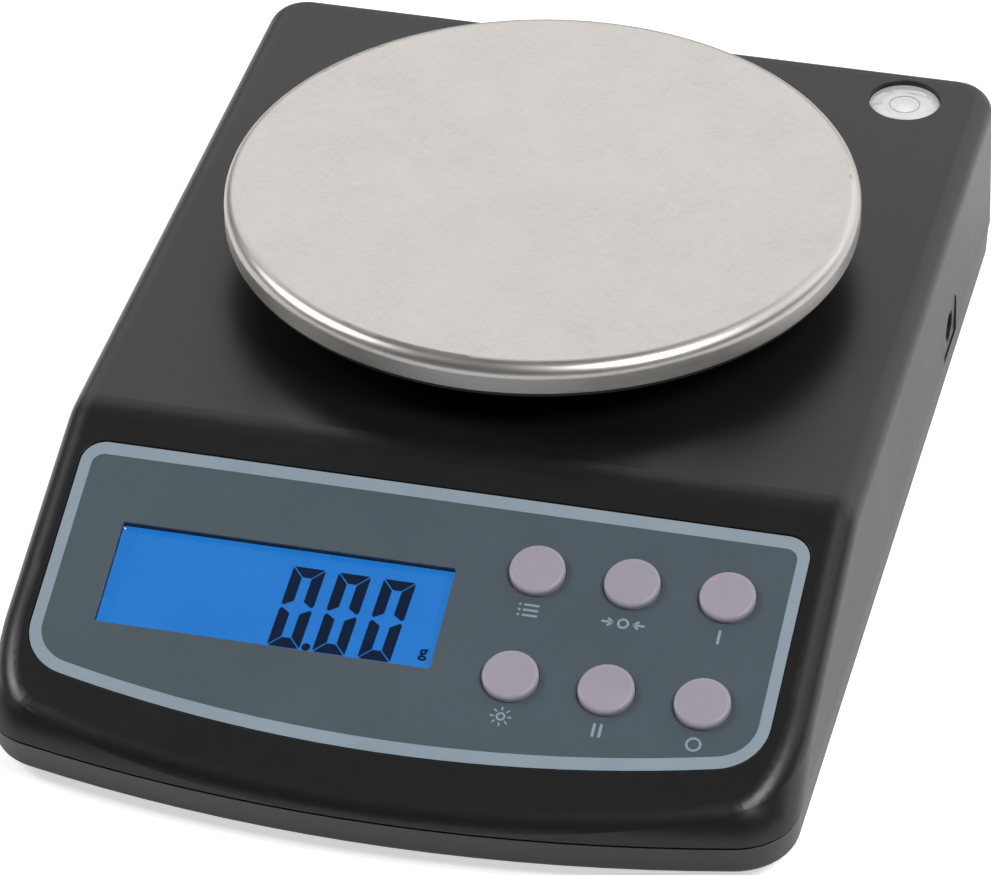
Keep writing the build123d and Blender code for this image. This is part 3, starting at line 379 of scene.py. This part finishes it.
def make_battery_wrap(name):
    """A printed battery sleeve: a dark body with a warm band towards each nub."""
    made, tree, shader, place = start_finish(name, {"IOR": 1.5})
    low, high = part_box("batteries")
    parts = add_node(tree, "ShaderNodeSeparateXYZ")
    tree.links.new(place, parts.inputs[0])
    cell = (high.x - low.x) / 2
    along = calculate(tree, "SUBTRACT", parts.outputs[0], low.x)
    stage = calculate(tree, "FRACT", calculate(tree, "DIVIDE", along, cell))
    band = spread_out(tree, calculate(tree, "ABSOLUTE", calculate(tree, "SUBTRACT", stage, 0.5)), 0.30, 0.31)
    body = use_group(
        tree, TONE_DRIFT, Place=place, Tone=tone(38, 42, 48), Other_tone=tone(46, 50, 56), Scale=60.0
    )["Colour"]
    tree.links.new(blend_colours(tree, band, body, tone(176, 108, 62)), shader.inputs["Base Color"])
    rough = use_group(tree, HANDLING, Place=place, Roughness=0.32, Spread=0.08)
    tree.links.new(rough["Roughness"], shader.inputs["Roughness"])
    grain = use_group(tree, MOULDED_GRAIN, Place=place, Scale=1500.0)["Height"]
    bump_from(tree, shader, grain, 0.004 * MM)
    return made


# In each look, the edge amount, edge tone and edge width give a painted sheen: edges lightened in colour in place
# of light caught on them.
LOOKS = {
    "casing_black": {
        "tone": tone(15, 15, 16),
        "other": tone(19, 19, 19),
        "rough": 0.36,
        "spread": 0.06,
        "depth": 0.012,
        "grain": 2300.0,
        "sheen_amount": 0.25,
        "painted_sheen": tone(42, 42, 42),
        "soft_edge": 0.22,
        "sockets": {"IOR": 1.46},
    },
    "support_black": {"tone": tone(22, 22, 22), "other": tone(28, 28, 28), "rough": 0.45, "depth": 0.01},
    "foot_black": {
        "tone": tone(34, 34, 35),
        "other": tone(42, 42, 42),
        "rough": 0.5,
        "sheen_amount": 0.5,
        "painted_sheen": tone(76, 76, 76),
    },
    "faceplate_grey": {
        "tone": tone(66, 77, 85),
        "other": tone(71, 82, 90),
        "rough": 0.42,
        "grain": 3600.0,
        "depth": 0.004,
        "spread": 0.05,
        "sheen_amount": 0.2,
        "painted_sheen": tone(120, 132, 140),
        "sockets": {"IOR": 1.5},
    },
    "faceplate_print": {
        "tone": tone(130, 144, 155),
        "other": tone(136, 150, 161),
        "rough": 0.4,
        "grain": 3600.0,
        "depth": 0.003,
        "drift": 90.0,
    },
    "frame_white": {"tone": tone(208, 208, 204), "other": tone(220, 220, 216), "rough": 0.5, "depth": 0.006},
    "strip_rubber": {"tone": tone(52, 40, 40), "other": tone(60, 48, 46), "rough": 0.6},
    "board_green": {
        "tone": tone(22, 84, 48),
        "other": tone(30, 100, 58),
        "rough": 0.34,
        "grain": 900.0,
        "depth": 0.01,
    },
    "chip_black": {"tone": tone(24, 24, 25), "other": tone(32, 32, 33), "rough": 0.5, "grain": 3000.0},
    "switch_black": {"tone": tone(30, 30, 30), "other": tone(38, 38, 38), "rough": 0.45},
    "screw_steel": {
        "tone": tone(150, 150, 152),
        "other": tone(172, 172, 172),
        "rough": 0.32,
        "sheen_amount": 0.5,
        "painted_sheen": tone(214, 214, 214),
        "sockets": {"Metallic": 1.0},
    },
    "plate_steel": {
        "tone": tone(168, 168, 166),
        "other": tone(186, 186, 184),
        "rough": 0.38,
        "sheen_amount": 0.4,
        "painted_sheen": tone(216, 216, 214),
        "sockets": {"Metallic": 1.0},
    },
    "pad_rubber": {
        "tone": tone(36, 36, 36),
        "other": tone(46, 45, 44),
        "rough": 0.82,
        "grain": 1800.0,
        "depth": 0.03,
        "sheen_amount": 0.6,
        "painted_sheen": tone(88, 86, 84),
    },
    "cell_aluminium": {
        "tone": tone(188, 190, 193),
        "other": tone(204, 206, 208),
        "rough": 0.34,
        "sheen_amount": 0.4,
        "painted_sheen": tone(228, 230, 232),
        "sockets": {"Metallic": 1.0},
    },
    "gauge_silicone": {
        "tone": tone(196, 196, 190),
        "other": tone(214, 214, 208),
        "rough": 0.4,
        "grain": 700.0,
    },
    "lead_grey": {"tone": tone(112, 112, 114), "other": tone(126, 126, 128), "rough": 0.5},
    "lead_red": {"tone": tone(150, 30, 28), "other": tone(168, 38, 34), "rough": 0.46},
    "contact_nickel": {
        "tone": tone(190, 186, 176),
        "other": tone(206, 202, 194),
        "rough": 0.26,
        "sockets": {"Metallic": 1.0},
    },
    "jack_black": {"tone": tone(20, 20, 20), "other": tone(27, 27, 27), "rough": 0.42, "depth": 0.008},
    "level_silver": {
        "tone": tone(222, 222, 220),
        "other": tone(232, 232, 230),
        "rough": 0.4,
        "grain": 1500.0,
    },
    "level_bubble": {
        "tone": tone(232, 234, 234),
        "other": tone(240, 242, 242),
        "rough": 0.12,
        "drift": 200.0,
    },
    "level_fluid": {"tone": tone(214, 216, 214), "other": tone(222, 224, 222), "rough": 0.2, "drift": 120.0},
    "button_lilac": {
        "tone": tone(148, 142, 154),
        "other": tone(154, 148, 160),
        "rough": 0.4,
        "grain": 3200.0,
        "depth": 0.005,
        "sheen_amount": 0.25,
        "painted_sheen": tone(205, 196, 204),
        "sockets": {"IOR": 1.48, "Subsurface Weight": 0.12, "Subsurface Scale": 0.001},
    },
}
LOOKS_CLEAR = {
    "clear_window": {
        "tone": tone(250, 251, 252),
        "other": tone(246, 248, 250),
        "rough": 0.02,
        "sockets": {"Transmission Weight": 1.0, "IOR": 1.49},
    },
}
LOOKS_VEILED = {
    "level_clear": {
        "tone": tone(200, 202, 202),
        "other": tone(192, 194, 194),
        "rough": 0.06,
        "sockets": {"Alpha": 0.55, "IOR": 1.49},
    },
}
LOOKS_LIT = {
    "display_blue": {
        "tone": tone(16, 110, 188),
        "other": tone(24, 119, 199),
        "rough": 0.2,
        "sockets": {"Base Color": tone(12, 34, 70), "Emission Strength": 1.0, "IOR": 1.5},
    },
    "backlight_blue": {
        "tone": tone(60, 140, 220),
        "other": tone(70, 150, 226),
        "rough": 0.4,
        "sockets": {"Base Color": tone(120, 150, 190), "Emission Strength": 0.6, "IOR": 1.5},
    },
}
LOOKS_EXTRA = {
    "segment_ink": {
        "tone": tone(2, 14, 34),
        "other": tone(3, 18, 42),
        "rough": 0.5,
        "drift": 160.0,
        "depth": 0.001,
        "sockets": {"Specular IOR Level": 0.0},
    },
    "level_mark": {"tone": tone(120, 122, 122), "other": tone(134, 136, 136), "rough": 0.5, "drift": 300.0},
}

FINISHES = {name: make_moulded(name, look) for name, look in (LOOKS | LOOKS_EXTRA).items()}
FINISHES |= {name: make_clear(name, look) for name, look in (LOOKS_CLEAR | LOOKS_VEILED).items()}
FINISHES |= {name: make_lit(name, look) for name, look in LOOKS_LIT.items()}
FINISHES["pan_steel"] = make_pan_steel("pan_steel")
FINISHES["battery_wrap"] = make_battery_wrap("battery_wrap")

for part in frame["record"]["subparts"]:
    NODES[part["node"]].material_slots[0].material = FINISHES[part["material_slot"]]
NODES["level_lens"].material_slots[0].material = FINISHES["level_clear"]
for clear_node in ("lcd_window", "level_lens"):
    NODES[clear_node].visible_shadow = False


# ---------------------------------------------------------------- making pieces
def settle(bm, name, body, finish, stands_for=(), sharp=40):
    """Turns a finished shape into a piece that rides on a body, with its finish."""
    mesh = bpy.data.meshes.new(name)
    bm.to_mesh(mesh)
    bm.free()
    mesh.shade_smooth()
    mesh.set_sharp_from_angle(angle=radians(sharp))
    mesh.materials.append(FINISHES[finish])
    piece = bpy.data.objects.new(name, mesh)
    bpy.context.scene.collection.objects.link(piece)
    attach(piece, body)
    if stands_for:
        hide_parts(*stands_for)
    return piece


def film(bm, faces, thickness):
    """Thickens flat ink faces outwards into a closed film."""
    grown = bmesh.ops.extrude_face_region(bm, geom=faces, use_keep_orig=True)["geom"]
    raised = [part for part in grown if isinstance(part, bmesh.types.BMVert)]
    bmesh.ops.translate(bm, verts=raised, vec=(0, 0, thickness))
    bmesh.ops.recalc_face_normals(bm, faces=bm.faces)


def lathe(bm, profile, steps):
    """Spins a profile of radius and height pairs round the upright axis into a closed skin."""
    start = [bm.verts.new((radius, 0, height)) for radius, height in profile]
    edges = [bm.edges.new(pair) for pair in zip(start, start[1:])]
    bmesh.ops.spin(
        bm, geom=start + edges, cent=(0, 0, 0), axis=(0, 0, 1), angle=2 * pi, steps=steps, use_merge=True
    )
    bmesh.ops.remove_doubles(bm, verts=bm.verts, dist=WELD)
    bmesh.ops.recalc_face_normals(bm, faces=bm.faces)


def shift(bm, spot):
    """Moves a shape to its place."""
    bmesh.ops.translate(bm, verts=bm.verts, vec=spot)


# ---------------------------------------------------------------- keypad print
print_thickness = 0.015 * MM
border_side = 2.15 * MM
border_end = 2.6 * MM


def outer_loop(bm):
    """The open outline that reaches furthest across."""
    left = {edge for edge in bm.edges if edge.is_boundary}
    widest, reach = [], 0.0
    while left:
        loop, queue = [], [left.pop()]
        while queue:
            edge = queue.pop()
            loop.append(edge)
            near = {other for point in edge.verts for other in point.link_edges} & left
            left -= near
            queue.extend(near)
        furthest = max(point.co.x for edge in loop for point in edge.verts)
        if furthest > reach:
            widest, reach = loop, furthest
    return widest


def make_keypad_border():
    """The light band printed round the keypad, taken in from the faceplate's own outline."""
    low, high = panel_span("faceplate")
    source = bmesh.new()
    source.from_mesh(NODES["faceplate"].data)
    bmesh.ops.transform(source, matrix=PANEL.inverted(), verts=source.verts)
    bmesh.ops.remove_doubles(source, verts=source.verts, dist=WELD)
    below = [point for point in source.verts if point.co.z < high.z - 10 * WELD]
    bmesh.ops.delete(source, geom=below, context="VERTS")
    loop = outer_loop(source)
    bm = bmesh.new()
    twins = {point: bm.verts.new(point.co) for edge in loop for point in edge.verts}
    edges = [bm.edges.new([twins[point] for point in edge.verts]) for edge in loop]
    source.free()
    face = bmesh.ops.contextual_create(bm, geom=edges)["faces"][0]
    if face.normal.z < 0:
        face.normal_flip()
    bmesh.ops.inset_region(bm, faces=[face], thickness=0.04 * MM, use_boundary=True, use_even_offset=True)
    edge_ring = [other for other in bm.faces if other is not face]
    bmesh.ops.delete(bm, geom=edge_ring, context="FACES")
    bmesh.ops.inset_region(bm, faces=[face], thickness=border_side, use_boundary=True, use_even_offset=True)
    inner = list(face.verts)
    centre = Vector((0, (low.y + high.y) / 2, 0))
    half = (high.y - low.y) / 2
    squeeze = (half - border_end) / (half - border_side)
    bmesh.ops.scale(bm, vec=(1, squeeze, 1), space=Matrix.Translation(-centre), verts=inner)
    bmesh.ops.delete(bm, geom=[face], context="FACES_ONLY")
    film(bm, list(bm.faces), print_thickness)
    shift(bm, (0, 0, print_thickness / 2))
    bmesh.ops.transform(bm, matrix=PANEL, verts=bm.verts)
    return settle(bm, "keypad_border", "case", "faceplate_print")


stroke = 0.3 * MM


def add_bar(bm, spot, length, angle=0.0, width=stroke):
    """A straight printed stroke about a spot."""
    place = Matrix.Translation((*spot, 0)) @ Matrix.Rotation(radians(angle), 4, "Z")
    size = Matrix.Diagonal((length / 2, width / 2, 1, 1))
    bmesh.ops.create_grid(bm, x_segments=1, y_segments=1, size=1, matrix=place @ size)


def add_ring(bm, spot, radius, width=stroke, segments=32):
    """A printed ring about a spot."""
    made = bmesh.ops.create_circle(
        bm, cap_ends=True, radius=radius, segments=segments, matrix=Matrix.Translation((*spot, 0))
    )
    disc = made["verts"][0].link_faces[0]
    bmesh.ops.inset_region(bm, faces=[disc], thickness=width, use_boundary=True, use_even_offset=True)
    bmesh.ops.delete(bm, geom=[disc], context="FACES_ONLY")


def mark_mode(bm, u, v):
    """Three short lines of a list, for choosing."""
    for row in (-0.75, 0, 0.75):
        add_bar(bm, (u + 0.35 * MM, v + row * MM), 1.9 * MM)
        add_bar(bm, (u - 1.1 * MM, v + row * MM), stroke)


def mark_tare(bm, u, v):
    """Two arrows that close on a nought."""
    add_ring(bm, (u, v), 0.75 * MM)
    for side in (-1, 1):
        add_bar(bm, (u + side * 2.0 * MM, v), 1.4 * MM)
        for lean in (-1, 1):
            add_bar(bm, (u + side * 1.62 * MM, v + lean * 0.27 * MM), 0.85 * MM, side * lean * 40)


def mark_on(bm, u, v):
    """The upright stroke that stands for on."""
    add_bar(bm, (u, v), 2.0 * MM, 90, 0.36 * MM)


def mark_backlight(bm, u, v):
    """A lamp: a small ring with rays."""
    add_ring(bm, (u, v), 0.6 * MM, 0.26 * MM)
    for turn in range(8):
        angle = turn * pi / 4
        add_bar(bm, (u + cos(angle) * 1.1 * MM, v + sin(angle) * 1.1 * MM), 0.5 * MM, turn * 45, 0.22 * MM)


def mark_hold(bm, u, v):
    """Two upright strokes, for a held reading."""
    for side in (-1, 1):
        add_bar(bm, (u + side * 0.42 * MM, v), 1.9 * MM, 90, 0.36 * MM)


def mark_off(bm, u, v):
    """The ring that stands for off."""
    add_ring(bm, (u, v), 1.0 * MM)


# How much the marks are enlarged about their middles.
mark_size = 1.45


def make_keypad_marks():
    """The small printed mark under each button."""
    drop = 8.1 * MM
    marks = {
        "mode_button": mark_mode,
        "tare_button": mark_tare,
        "on_button": mark_on,
        "backlight_button": mark_backlight,
        "hold_button": mark_hold,
        "off_button": mark_off,
    }
    bm = bmesh.new()
    for node, mark in marks.items():
        low, high = panel_span(node)
        u, v = (low.x + high.x) / 2, (low.y + high.y) / 2 - drop
        drawn = set(bm.verts)
        mark(bm, u, v)
        fresh = [point for point in bm.verts if point not in drawn]
        size = (mark_size, mark_size, 1)
        bmesh.ops.scale(bm, vec=size, space=Matrix.Translation((-u, -v, 0)), verts=fresh)
    film(bm, list(bm.faces), print_thickness)
    shift(bm, (0, 0, panel_span("faceplate")[1].z + print_thickness / 2))
    bmesh.ops.transform(bm, matrix=PANEL, verts=bm.verts)
    return settle(bm, "keypad_marks", "case", "faceplate_print")


make_keypad_border()
make_keypad_marks()

# ---------------------------------------------------------------- display reading
digit_half_width = 3.1 * MM
digit_half_height = 8.6 * MM
digit_stroke = 2.3 * MM
digit_pitch = 8.35 * MM
digit_slant = 0.06
digit_gap = 0.1 * MM
digit_corner = 0.5 * MM
digit_waist = 0.12 * MM
last_digit_in = 10.3 * MM
digit_rise = 9.65 * MM
point_radius = 0.8 * MM
ink_thickness = 0.02 * MM


def add_stroke(bm, spot, outline, flips):
    """One segment from its outline, drawn in a little, and its mirrored twins."""
    strokes = []
    for flip_x, flip_y in flips:
        points = [bm.verts.new(spot + Vector((flip_x * x, flip_y * y, 0))) for x, y in outline]
        strokes.append(bm.faces.new(points if flip_x * flip_y > 0 else points[::-1]))
    bm.normal_update()
    rings = bmesh.ops.inset_individual(bm, faces=strokes, thickness=digit_gap, use_even_offset=True)["faces"]
    bmesh.ops.delete(bm, geom=rings, context="FACES")


def draw_nought(bm, spot):
    """A seven-segment nought about a spot."""
    wide, tall, thick, cut = digit_half_width, digit_half_height, digit_stroke, digit_corner
    bar = (
        (-wide + cut, tall),
        (-wide + cut / 2, tall - cut / 2),
        (-wide + thick, tall - thick),
        (wide - thick, tall - thick),
        (wide - cut / 2, tall - cut / 2),
        (wide - cut, tall),
    )
    post = (
        (-wide, tall - cut),
        (-wide, digit_waist + cut),
        (-wide + cut, digit_waist),
        (-wide + thick, digit_waist + thick / 2),
        (-wide + thick, tall - thick),
        (-wide + cut / 2, tall - cut / 2),
    )
    add_stroke(bm, spot, bar, ((1, 1), (1, -1)))
    add_stroke(bm, spot, post, ((1, 1), (1, -1), (-1, 1), (-1, -1)))


def make_reading():
    """The figures on the display: three slanted noughts and the point after the first."""
    low, high = panel_span("lcd_window")
    face = panel_span("lcd_glass")[1].z
    bm = bmesh.new()
    for place in range(3):
        draw_nought(bm, Vector((high.x - last_digit_in - place * digit_pitch, low.y + digit_rise, 0)))
    first_digit_x = high.x - last_digit_in - 2 * digit_pitch
    point_x = first_digit_x + digit_pitch / 2 - 0.1 * MM
    point_y = low.y + digit_rise - digit_half_height + point_radius
    bmesh.ops.create_circle(
        bm, cap_ends=True, radius=point_radius, segments=24, matrix=Matrix.Translation((point_x, point_y, 0))
    )
    waist = low.y + digit_rise
    for point in bm.verts:
        point.co.x += (point.co.y - waist) * digit_slant
    film(bm, list(bm.faces), ink_thickness)
    shift(bm, (0, 0, face + ink_thickness / 4))
    bmesh.ops.transform(bm, matrix=PANEL, verts=bm.verts)
    return settle(bm, "display_figures", "case", "segment_ink")


def make_unit():
    """The small unit letter at the display's lower right."""
    low, high = panel_span("lcd_window")
    face = panel_span("lcd_glass")[1].z
    letter = bpy.data.curves.new("unit_letter", "FONT")
    letter.body = "g"
    letter.size = 3.4 * MM
    letter.offset = 0.09 * MM
    letter.extrude = ink_thickness / 2
    letter.align_x = "CENTER"
    outline = bpy.data.objects.new("unit_letter", letter)
    mesh = bpy.data.meshes.new_from_object(outline)
    bpy.data.objects.remove(outline)
    bm = bmesh.new()
    bm.from_mesh(mesh)
    bpy.data.meshes.remove(mesh)
    bmesh.ops.remove_doubles(bm, verts=bm.verts, dist=WELD / 4)
    shift(bm, (high.x - 2.3 * MM, low.y + 3.3 * MM, face + ink_thickness))
    bmesh.ops.transform(bm, matrix=PANEL, verts=bm.verts)
    return settle(bm, "display_unit", "case", "segment_ink")


make_reading()
make_unit()

# ---------------------------------------------------------------- bubble level
mark_radius = 2.95 * MM
mark_width = 0.16 * MM


def make_level_mark():
    """The fine ring under the level's lens that the bubble is brought into."""
    low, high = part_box("level_lens")
    bm = bmesh.new()
    add_ring(bm, (0, 0), mark_radius + mark_width / 2, mark_width, 64)
    film(bm, list(bm.faces), 0.03 * MM)
    centre = middle("level_lens")
    shift(bm, (centre.x, centre.y, high.z + 0.02 * MM))
    return settle(bm, "level_mark_ring", "case", "level_mark")


make_level_mark()


# ---------------------------------------------------------------- screws
def drive_reach(kind, angle, size):
    """How far a driver's recess reaches from its middle at an angle."""
    if kind == "cross":
        folded = abs((angle + pi / 4) % (pi / 2) - pi / 4)
        arm = 0.24 * size
        return size / cos(folded) if tan(folded) < arm / size else arm / sin(folded)
    if kind == "hexagon":
        return size * cos(pi / 6) / cos((angle % (pi / 3)) - pi / 6)
    arm = 0.22 * size
    return min(size / max(abs(cos(angle)), 1e-6), arm / max(abs(sin(angle)), 1e-6))


def add_screw(bm, spot, head, shank, kind, drive, steps=48):
    """A screw that points up from its sunk head, with a driver's recess in the head's underside.

    The head and the shank are each a radius and a length; the drive is a size and a depth."""
    head_radius, head_height = head
    shank_radius, length = shank
    size, depth = drive
    edge = min(0.12 * MM, head_height / 4)
    rim = max(size * 1.08, head_radius * 0.55)
    profile = [
        (rim, 0),
        (head_radius - edge, 0),
        (head_radius, edge),
        (head_radius, head_height),
        (shank_radius, head_height),
        (shank_radius, length - shank_radius),
        (0, length),
    ]
    part = bmesh.new()
    lathe(part, profile, steps)
    opening = [one for one in part.edges if one.is_boundary]
    walls = bmesh.ops.extrude_edge_only(part, edges=opening)["geom"]
    lip = [one for one in walls if isinstance(one, bmesh.types.BMVert)]
    for point in lip:
        angle = atan2(point.co.y, point.co.x)
        reach = drive_reach(kind, angle, size)
        point.co.x, point.co.y = reach * cos(angle), reach * sin(angle)
    lip_edges = [one for one in walls if isinstance(one, bmesh.types.BMEdge) and one.is_boundary]
    floor = bmesh.ops.extrude_edge_only(part, edges=lip_edges)["geom"]
    deep = [one for one in floor if isinstance(one, bmesh.types.BMVert)]
    bmesh.ops.scale(part, vec=(0.72, 0.72, 1), verts=deep)
    bmesh.ops.translate(part, verts=deep, vec=(0, 0, depth))
    rest = [one for one in floor if isinstance(one, bmesh.types.BMEdge) and one.is_boundary]
    bmesh.ops.contextual_create(part, geom=rest)
    bmesh.ops.recalc_face_normals(part, faces=part.faces)
    bmesh.ops.translate(part, verts=part.verts, vec=spot)
    scratch = bpy.data.meshes.new("screw_scratch")
    part.to_mesh(scratch)
    part.free()
    bm.from_mesh(scratch)
    bpy.data.meshes.remove(scratch)


def make_screws():
    """The fixings seen from below: four casing screws, two load cell screws and the overload stop."""
    low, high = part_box("case_screws")
    head = 2.7 * MM
    shank = (1.4 * MM, high.z - low.z)
    cross = (1.75 * MM, 1.2 * MM)
    bm = bmesh.new()
    for x in (low.x + head, high.x - head):
        for y in (low.y + head, high.y - head):
            add_screw(bm, (x, y, low.z), (head, 1.8 * MM), shank, "cross", cross)
    settle(bm, "casing_screws", "case", "screw_steel", stands_for=["case_screws"])
    low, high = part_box("cell_screws")
    head = 3.4 * MM
    shank = (2.0 * MM, high.z - low.z)
    hexagon = (1.6 * MM, 1.3 * MM)
    bm = bmesh.new()
    for y in (low.y + head, high.y - head):
        spot = (middle("cell_screws").x, y, low.z)
        add_screw(bm, spot, (head, 2.0 * MM), shank, "hexagon", hexagon)
    settle(bm, "load_cell_screws", "case", "screw_steel", stands_for=["cell_screws"])
    low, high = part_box("overload_stop")
    centre = middle("overload_stop")
    shank = (1.98 * MM, high.z - low.z)
    slot = (1.7 * MM, 0.9 * MM)
    bm = bmesh.new()
    add_screw(bm, (centre.x, centre.y, low.z), (2.0 * MM, 2.0 * MM), shank, "slot", slot)
    settle(bm, "overload_stop_screw", "case", "screw_steel", stands_for=["overload_stop"])


make_screws()

# ---------------------------------------------------------------- levelling feet
knob_thickness = 1.5 * MM
knob_ridges = 40
knob_ridge_depth = 0.28 * MM
thread_pitch = 0.7 * MM


def make_knob(corner):
    """A levelling foot: a knurled disc on a threaded stud."""
    node = f"{corner}_foot"
    low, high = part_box(node)
    radius = (high.x - low.x) / 2
    stud = 2.4 * MM
    core = stud - 0.35 * MM
    edge = 0.25 * MM
    top = knob_thickness
    profile = [(0, 0), (radius - edge, 0), (radius, edge)]
    profile += [(radius, top - edge), (radius - edge, top), (core, top)]
    height = high.z - low.z
    turns = int((height - knob_thickness) / thread_pitch) - 1
    for turn in range(turns):
        base = top + (turn + 0.25) * thread_pitch
        profile += [(core, base), (stud, base + thread_pitch / 2)]
    profile += [(core, height - thread_pitch / 2), (core - edge, height), (0, height)]
    bm = bmesh.new()
    lathe(bm, profile, 4 * knob_ridges)
    for point in bm.verts:
        reach = hypot(point.co.x, point.co.y)
        if reach > radius - 2 * edge:
            wave = (1 - cos(knob_ridges * atan2(point.co.y, point.co.x))) / 2
            point.co.xy *= 1 - knob_ridge_depth * wave / radius
    centre = middle(node)
    shift(bm, (centre.x, centre.y, low.z))
    body = f"{corner}_leveller"
    settle(bm, f"{corner}_knob", body, "foot_black", stands_for=[node], sharp=50)


for corner in ("front_left", "front_right", "back_left", "back_right"):
    make_knob(corner)

# ---------------------------------------------------------------- battery door grips
grip_count = 5
grip_pitch = 2.2 * MM
grip_length = 13.0 * MM
grip_width = 0.9 * MM
grip_height = 0.35 * MM


def make_door_grips():
    """The ribs beside the battery door's notch, for a fingertip."""
    low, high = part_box("battery_door")
    bm = bmesh.new()
    for row in range(grip_count):
        spot = (middle("battery_door").x, low.y + 8.6 * MM + row * grip_pitch, low.z)
        size = Matrix.Diagonal((grip_length, grip_width, 2 * grip_height, 1))
        bmesh.ops.create_cube(bm, size=1, matrix=Matrix.Translation(spot) @ size)
    bmesh.ops.bevel(
        bm,
        geom=list(bm.edges),
        offset=0.22 * MM,
        offset_type="OFFSET",
        affect="EDGES",
        segments=3,
        profile=0.5,
        material=-1,
    )
    return settle(bm, "battery_door_grips", "battery_hatch", "casing_black")


make_door_grips()

# ---------------------------------------------------------------- studio
floor_half = 9.0
FLOOR_LOOK = {
    "Base Color": (0.8, 0.8, 0.8, 1),
    "Roughness": 0.85,
    "Specular IOR Level": 0.1,
    "Emission Color": (1, 1, 1, 1),
}
floor_glow = 0.6
floor_bounce = 0.18


def make_floor():
    """A plain pale floor, faintly lit from within, that can be looked through from below."""
    mesh = bpy.data.meshes.new("studio_floor")
    bm = bmesh.new()
    bmesh.ops.create_grid(bm, x_segments=2, y_segments=2, size=floor_half)
    bm.to_mesh(mesh)
    bm.free()
    made = bpy.data.materials.new("floor_paint")
    made.use_nodes = True
    tree = made.node_tree
    shader = tree.nodes["Principled BSDF"]
    for label, value in FLOOR_LOOK.items():
        shader.inputs[label].default_value = value
    rays = tree.nodes.new("ShaderNodeLightPath").outputs
    seen = calculate(tree, "MULTIPLY", rays["Is Camera Ray"], floor_glow)
    mirrored = calculate(tree, "MULTIPLY", rays["Is Glossy Ray"], floor_bounce)
    tree.links.new(calculate(tree, "ADD", seen, mirrored), shader.inputs["Emission Strength"])
    below = tree.nodes.new("ShaderNodeNewGeometry").outputs["Backfacing"]
    tree.links.new(calculate(tree, "SUBTRACT", 1.0, below), shader.inputs["Alpha"])
    mesh.materials.append(made)
    floor = bpy.data.objects.new("studio_floor", mesh)
    bpy.context.scene.collection.objects.link(floor)


# Each softbox: its name, place, aim, width, height and brightness.
SOFTBOXES = (
    ("back_softbox", (-0.45, 1.7, 1.15), (0, 0, 0.03), 2.8, 1.5, 1.15),
    ("back_right_softbox", (1.1, 1.45, 0.55), (0, 0, 0.03), 1.4, 1.0, 1.2),
    ("left_strip", (-0.98, -0.13, 0.85), (0, -0.1, 0.03), 0.42, 0.5, 12.0),
    ("right_strip", (0.65, -0.38, 1.0), (0, -0.1, 0.03), 0.42, 0.5, 16.0),
    ("right_flood", (0.9, 0.5, 0.95), (0.2, 0.1, 0.0), 1.1, 1.1, 0.9),
)
surround_brightness = 0.1


def add_softbox(name, spot, aim, width, height, brightness):
    """A soft rectangular lamp of an even brightness, turned to face a point."""
    lamp = bpy.data.lights.new(name, "AREA")
    lamp.shape = "RECTANGLE"
    lamp.size = width
    lamp.size_y = height
    lamp.energy = brightness * pi * width * height
    made = bpy.data.objects.new(name, lamp)
    made.location = spot
    made.rotation_mode = "QUATERNION"
    made.rotation_quaternion = (Vector(aim) - Vector(spot)).to_track_quat("-Z", "Y")
    made.visible_camera = False
    bpy.context.scene.collection.objects.link(made)


def make_world(brightness):
    """An even pale surround."""
    world = bpy.data.worlds.new("studio_surround")
    world.use_nodes = True
    surround = world.node_tree.nodes["Background"]
    surround.inputs["Color"].default_value = (1, 1, 1, 1)
    surround.inputs["Strength"].default_value = brightness
    bpy.context.scene.world = world


make_floor()
make_world(surround_brightness)
for softbox in SOFTBOXES:
    add_softbox(*softbox)

camera_spot = Vector((0.2264126, -0.9135084, 0.6991261))
camera_aim = Vector((-0.0012233, -0.0050785, 0.0200016))
camera_roll = radians(-0.574)
camera_lens = 224.47


def make_camera():
    """The camera, looking down on the keypad from its right."""
    lens = bpy.data.cameras.new("studio_camera")
    lens.sensor_width = 36.0
    lens.sensor_fit = "HORIZONTAL"
    lens.lens = camera_lens
    made = bpy.data.objects.new("studio_camera", lens)
    made.location = camera_spot
    made.rotation_mode = "QUATERNION"
    facing = (camera_aim - camera_spot).to_track_quat("-Z", "Y")
    made.rotation_quaternion = facing @ Quaternion((0, 0, 1), camera_roll)
    bpy.context.scene.collection.objects.link(made)
    bpy.context.scene.camera = made


make_camera()
bpy.context.scene.view_settings.view_transform = "Standard"
